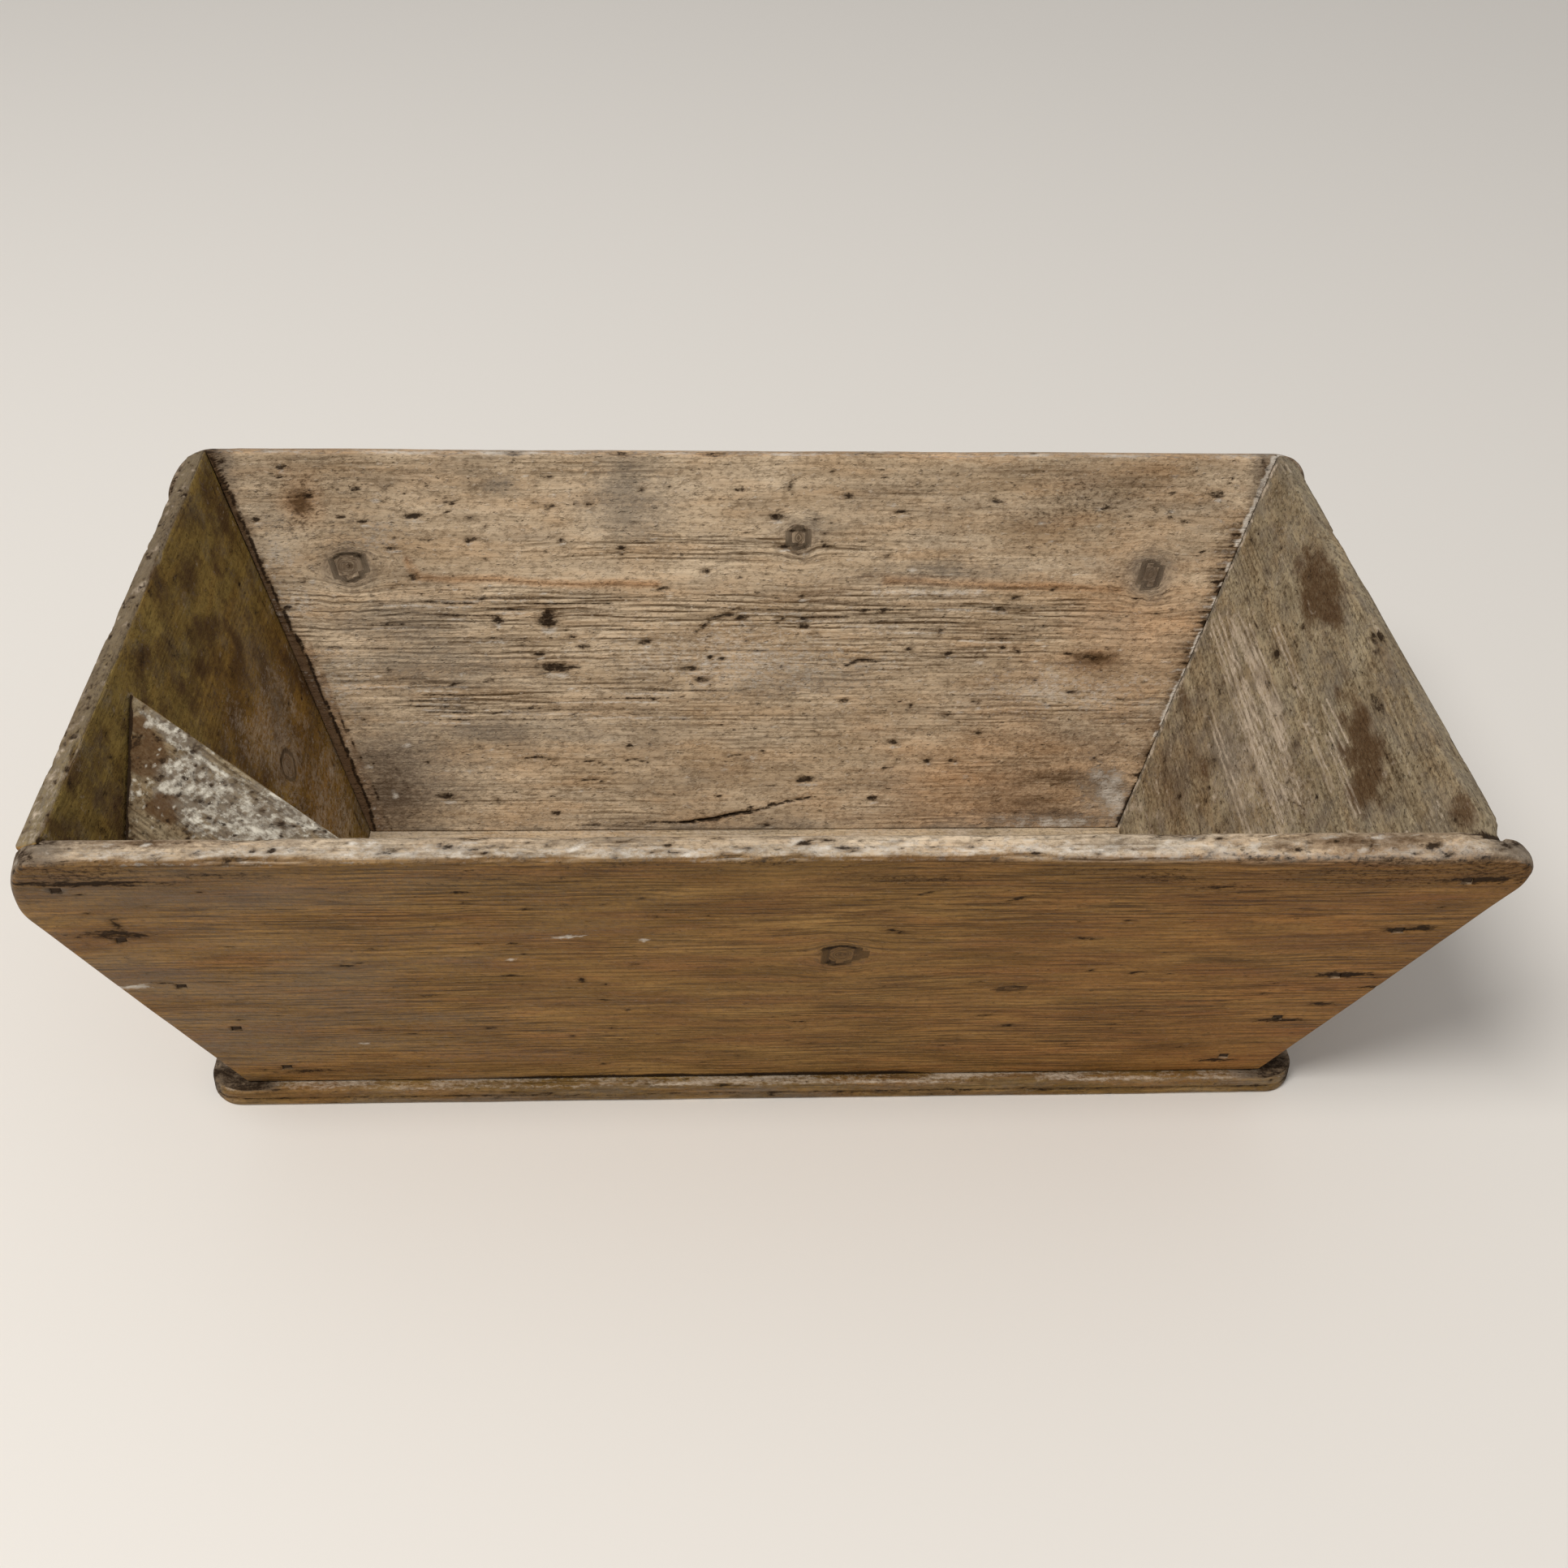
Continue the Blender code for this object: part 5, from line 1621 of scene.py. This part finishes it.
def shelf_features(s, plan):
    """All of the corner shelf: a floury crust with bare patches, and painted shadow along the gap at its edge
    by the left end.
    """
    pine_rings(s, -30, 10, 1.6, 61, 0.0, 0.7)
    s.hollow(0.35, (20, 14), 62)
    top = s.side[OUTER]
    s.lay("scrubbed", top)
    crust = np.zeros_like(s.u)
    for u, v, half, high, thick in SHELF_CRUST:
        crust = np.maximum(crust, s.blot(OUTER, (u, v), (half, high), 0.6) * thick)
    s.lay("grey", ease(0.1, 0.4, crust), 0.85)
    s.lay("pale", s.patchy(OUTER, crust, 0.75, (4.5, 3.5), 63, octaves=4) * ease(0.05, 0.25, crust), 0.78)
    s.lay("pale", top * s.patchy(OUTER, 0.1, 0.8, (5, 3), 68), 0.5)
    s.lay("dark", top * s.patchy(OUTER, 0.24, 1, (7, 5), 66, octaves=4), 0.75)
    for u, v, half, high in SHELF_BARE:
        bare = ease(0.25, 0.6, s.blot(OUTER, (u, v), (half, high), 0.6))
        s.lay("red", bare, 0.75)
        s.lay("dark", bare, 0.3)
        s.pale *= 1 - 0.85 * bare
    for u, v, half in SHELF_STREAKS:
        s.streak(OUTER, ((u - half, v - 1), (u + half, v + 1)), 1.2, 0, 0.9, "pale", 8)
    for at in SHELF_DOTS:
        s.pit(OUTER, at, (2.4, 2.2), 0, 0, 1.0, "pale")
    half_angle = plan.shelf_frame(HEIGHT - SHELF_DROP)[1]
    # Painted shadow along the gap between the shelf and the left end: dark, with the flour taken out.
    edge = (s.u + s.v * math.tan(half_angle)) * 0.66
    s.lay("dark", top * ease(4.5, 2.5, edge + 0.8 * swell(s.v / 4, s.u * 0, 114)))
    s.pale *= 1 - 0.9 * top * ease(4.5, 2.5, edge)
    s.pecks(OUTER, 120, 65, (-110, 4, 110, 98), (0.8, 2.2, 2.4), 0.5, 0.9)
    s.pecks(OUTER, 120, 69, (-60, 40, 100, 98), (0.7, 1.8, 1.8), 0.0, 0.9, "pale")


# Operators.


def settings(context):
    """The bin's sizes and colours, and the plan worked out from them."""
    sizes = context.scene.dough_bin_sizes
    return sizes, context.scene.dough_bin_colours, Plan(sizes)


def level_foot(lean):
    """How high a leaning board's level foot lies up its slope, through its thickness."""
    return lambda w: (JOINT_GAP + w * math.sin(lean)) / math.cos(lean)


def side_board(name, side, sizes, plan, ends, features, dip, nails, fine=()):
    """Makes the front or back board."""
    return plank(
        name,
        plan.side_frame(side),
        (plan.bottom_half + plan.top_half, plan.side_slope, plan.thick),
        SIDE_PITCH,
        level_foot(plan.side_lean),
        ends,
        lambda s: features(s, plan),
        (SIDE_FOOT_ARRIS, sizes.arris),
        nails,
        (housings(plan, side),),
        dip,
        fine,
    )


def end_board(name, side, sizes, plan, features, dip, nails):
    """Makes the left or right end."""
    return plank(
        name,
        plan.end_frame(side),
        (2 * plan.side_foot + END_SPREAD, plan.end_slope, plan.thick),
        END_PITCH,
        level_foot(plan.end_lean),
        plan.end_ends,
        lambda s: features(s, plan),
        (END_FOOT_ARRIS, sizes.arris),
        nails,
        (),
        dip,
    )


class DOUGHBIN_OT_front(bpy.types.Operator):
    """Make the front board"""

    bl_idname = "dough_bin.front"
    bl_label = "Front board"

    def execute(self, context):
        sizes, colours, plan = settings(context)
        nails = nail_names("front", "base_front", "shelf_front")
        board = side_board(
            "front_board_wood", -1, sizes, plan, plan.front_ends, front_features, front_dip, nails
        )
        material = old_pine("waxed_pine_front", colours, WAXED, BARE_FRONT, "filler")
        finish_piece(board, material, "front_pine", "front_board")
        return {"FINISHED"}


class DOUGHBIN_OT_back(bpy.types.Operator):
    """Make the back board"""

    bl_idname = "dough_bin.back"
    bl_label = "Back board"

    def execute(self, context):
        sizes, colours, plan = settings(context)
        nails = nail_names("back", "base_back")
        board = side_board(
            "back_board_wood", 1, sizes, plan, plan.back_ends, back_features, rim_dip, nails, BACK_SEAMS
        )
        material = old_pine("scrubbed_pine_back", colours, WAXED, SCRUBBED, "filler")
        finish_piece(board, material, "back_pine", "back_board")
        return {"FINISHED"}


class DOUGHBIN_OT_ends(bpy.types.Operator):
    """Make the left and right ends"""

    bl_idname = "dough_bin.ends"
    bl_label = "Ends"

    def execute(self, context):
        sizes, colours, plan = settings(context)
        nails = nail_names("front_left", "back_left", "base_left", "shelf_left")
        board = end_board("left_end_wood", -1, sizes, plan, left_features, rim_dip, nails)
        material = old_pine("grimed_pine_left", colours, WAXED, GRIMED_LEFT)
        finish_piece(board, material, "left_end_pine", "left_end")

        nails = nail_names("front_right", "back_right", "base_right")
        board = end_board("right_end_wood", 1, sizes, plan, right_features, right_dip, nails)
        material = old_pine("scrubbed_pine_right", colours, WAXED, GREYED_RIGHT)
        finish_piece(board, material, "right_end_pine", "right_end")
        return {"FINISHED"}


class DOUGHBIN_OT_base(bpy.types.Operator):
    """Make the base board"""

    bl_idname = "dough_bin.base"
    bl_label = "Base board"

    def execute(self, context):
        sizes, colours, plan = settings(context)
        half_long = plan.bottom_half + BASE_OVERHANG_END
        half_deep = plan.side_foot + BASE_OVERHANG_SIDE

        def ends(v, w):
            near = np.clip(np.abs(v - half_deep) - (half_deep - BASE_CORNER_R), 0, BASE_CORNER_R)
            half = half_long - BASE_CORNER_R + np.sqrt(np.maximum(BASE_CORNER_R**2 - near**2, 0))
            return -half, half

        board = plank(
            "base_board_wood",
            plan.stand(Vector((0, -half_deep, sizes.base_thick)), Vector((1, 0, 0)), Vector((0, 1, 0))),
            (2 * half_long, 2 * half_deep, sizes.base_thick),
            BASE_PITCH,
            lambda w: 0 * w,
            ends,
            base_features,
            BASE_ARRISES,
            nail_names("base"),
        )
        material = old_pine("waxed_pine_base", colours, DULLED_BASE, FLOURY_BASE)
        finish_piece(board, material, "base_pine", "base_board")
        return {"FINISHED"}


class DOUGHBIN_OT_shelf(bpy.types.Operator):
    """Make the corner shelf"""

    bl_idname = "dough_bin.shelf"
    bl_label = "Corner shelf"

    def execute(self, context):
        sizes, colours, plan = settings(context)
        stand, half_angle = plan.shelf_frame(sizes.height - SHELF_DROP)
        deep = sizes.shelf_leg * math.cos(half_angle)
        wide = math.tan(half_angle)

        def ends(v, w):
            slant = 1 / math.cos(half_angle)
            left = -v * wide + (JOINT_GAP + SHELF_OPEN * (1 - v / deep)) * slant
            return left, np.maximum(v * wide - JOINT_GAP * slant, left + SHELF_LEAST)

        board = plank(
            "corner_shelf_wood",
            stand,
            (deep * wide, deep, sizes.shelf_thick),
            SHELF_PITCH,
            lambda w: SHELF_POINT_CUT + 0 * w,
            ends,
            lambda s: shelf_features(s, plan),
            SHELF_ARRISES,
            nail_names("shelf"),
        )
        material = old_pine("floured_pine_shelf", colours, WAXED, FLOURY_SHELF, "flour")
        finish_piece(board, material, "shelf_pine", "corner_shelf")
        return {"FINISHED"}


class DOUGHBIN_OT_nails(bpy.types.Operator):
    """Make the iron nails"""

    bl_idname = "dough_bin.nails"
    bl_label = "Nails"

    def execute(self, context):
        colours = settings(context)[1]
        axes = nail_axes()
        points = bpy.data.meshes.new("iron_nails")
        points.from_pydata([tuple(nail[0]) for nail in axes.values()], [], [])
        turns, spans = [], []
        for head, axis, corner, reach, wide in axes.values():
            across = (corner + axis.cross(corner)).normalized()
            turns += Matrix((across, axis.cross(across), axis)).transposed().to_euler()
            spans += (wide, wide, reach)
        for label, values in (("turn", turns), ("span", spans)):
            points.attributes.new(label, "FLOAT_VECTOR", "POINT").data.foreach_set("vector", values)
        nails = put_in_scene("iron_nails", points)
        iron = rusted_iron(colours)
        grow(nails, nail_tree(iron), {"Spin": math.radians(2), "Smallest": 0.95, "Seed": 7})
        finish_piece(nails, iron, "nail_iron", *axes)
        return {"FINISHED"}


class DOUGHBIN_OT_crumbs(bpy.types.Operator):
    """Make the crumbs of dried dough on the corner shelf"""

    bl_idname = "dough_bin.crumbs"
    bl_label = "Dried dough"

    def execute(self, context):
        sizes, colours, plan = settings(context)
        shelf = context.scene.objects.get("corner_shelf_wood")
        if shelf is None:
            raise RuntimeError("make the corner shelf before the dried dough on it")
        up = plan.shelf_frame(sizes.height - SHELF_DROP)[0].to_3x3().col[2]
        crumbs = put_in_scene("dried_dough_crumbs", shelf.data.copy())
        dough = dried_dough(colours)
        grow(crumbs, crumb_tree(dough), {
            "Up": up, "Crust": 0.42, "Per area": 90000.0, "Small": 0.0003, "Large": 0.0011, "Seed": 5,
        })
        crumbs.data.materials.clear()
        crumbs.data.materials.append(dough)
        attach(crumbs, "root")
        return {"FINISHED"}


def light_room(scene):
    """A soft, even room; the camera, reflections and clear things see a pale backdrop instead."""
    world = bpy.data.worlds.new("soft_room")
    scene.world = world
    tree = empty_tree(world)
    path = add(tree, "ShaderNodeLightPath").outputs
    seen = path["Is Camera Ray"]
    for ray in ("Is Glossy Ray", "Is Transmission Ray"):
        seen = maths(tree, "MAXIMUM", seen, path[ray])
    room, backdrop = (
        add(tree, "ShaderNodeBackground", {"Color": (*linear(code), 1), "Strength": strength}).outputs[0]
        for code, strength in ((ROOM_COLOUR, ROOM_STRENGTH), (BACKDROP_COLOUR, 1.0))
    )
    mix = add(tree, "ShaderNodeMixShader", {0: seen, 1: room, 2: backdrop}).outputs[0]
    add(tree, "ShaderNodeOutputWorld", {"Surface": mix})


def hang_lamp():
    """The soft key lamp, aimed at the middle of the bin."""
    lamp = bpy.data.lights.new("soft_key", "AREA")
    lamp.shape, lamp.size, lamp.energy = "DISK", KEY_SIZE, KEY_POWER
    lamp.color = linear(KEY_COLOUR)
    key = put_in_scene("soft_key", lamp)
    key.location = KEY_PLACE
    key.rotation_euler = (KEY_AIM - KEY_PLACE).to_track_quat("-Z", "Y").to_euler()


def set_camera(scene):
    """The camera, from its place, its pitch, its yaw and its roll."""
    ahead = Vector((
        math.sin(CAMERA_YAW) * math.cos(CAMERA_PITCH),
        math.cos(CAMERA_YAW) * math.cos(CAMERA_PITCH),
        -math.sin(CAMERA_PITCH),
    ))
    level = Vector((math.cos(CAMERA_YAW), -math.sin(CAMERA_YAW), 0))
    down = ahead.cross(level)
    c, s = math.cos(CAMERA_ROLL), math.sin(CAMERA_ROLL)
    turn = Matrix((c * level + s * down, s * level - c * down, -ahead)).transposed()
    lens = bpy.data.cameras.new("camera")
    lens.lens, lens.sensor_width, lens.clip_end = CAMERA_LENS, CAMERA_SENSOR, CAMERA_SIGHT
    camera = put_in_scene("camera", lens)
    camera.matrix_world = Matrix.Translation(CAMERA_PLACE) @ turn.to_4x4()
    scene.camera = camera


class DOUGHBIN_OT_stage(bpy.types.Operator):
    """Lay the floor and set the light and the camera"""

    bl_idname = "dough_bin.stage"
    bl_label = "Floor, light and camera"

    def execute(self, context):
        colours, scene = settings(context)[1], context.scene
        scene.view_settings.view_transform = "Standard"

        def build(work):
            bmesh.ops.create_grid(work, x_segments=1, y_segments=1, size=FLOOR_HALF)

        floor = build_mesh("floor", build)
        floor.data.materials.append(matt_floor(colours))
        light_room(scene)
        hang_lamp()
        set_camera(scene)
        return {"FINISHED"}


class DOUGHBIN_PT_panel(bpy.types.Panel):
    """The bin's sizes, colours and pieces"""

    bl_idname = "DOUGHBIN_PT_panel"
    bl_label = "Dough bin"
    bl_space_type = "VIEW_3D"
    bl_region_type = "UI"
    bl_category = "Dough bin"

    def draw(self, context):
        for group in (context.scene.dough_bin_sizes, context.scene.dough_bin_colours):
            box = self.layout.box()
            for label in group.__annotations__:
                box.prop(group, label)
        for operator in OPERATORS:
            self.layout.operator(operator.bl_idname)


OPERATORS = (
    DOUGHBIN_OT_stage,
    DOUGHBIN_OT_base,
    DOUGHBIN_OT_back,
    DOUGHBIN_OT_ends,
    DOUGHBIN_OT_front,
    DOUGHBIN_OT_shelf,
    DOUGHBIN_OT_nails,
    DOUGHBIN_OT_crumbs,
)
CLASSES = (DOUGHBIN_PG_sizes, DOUGHBIN_PG_colours, *OPERATORS, DOUGHBIN_PT_panel)


def register():
    """Makes the bin's classes known to Blender."""
    for kind in CLASSES:
        bpy.utils.register_class(kind)
    bpy.types.Scene.dough_bin_sizes = bpy.props.PointerProperty(type=DOUGHBIN_PG_sizes)
    bpy.types.Scene.dough_bin_colours = bpy.props.PointerProperty(type=DOUGHBIN_PG_colours)


def unregister():
    """Takes the bin's classes away again."""
    del bpy.types.Scene.dough_bin_colours
    del bpy.types.Scene.dough_bin_sizes
    for kind in reversed(CLASSES):
        bpy.utils.unregister_class(kind)


def main():
    """Registers the add-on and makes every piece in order."""
    register()
    bpy.ops.dough_bin.stage()
    bpy.ops.dough_bin.base()
    bpy.ops.dough_bin.back()
    bpy.ops.dough_bin.ends()
    bpy.ops.dough_bin.front()
    bpy.ops.dough_bin.shelf()
    bpy.ops.dough_bin.nails()
    bpy.ops.dough_bin.crumbs()


if __name__ == "__main__":
    main()
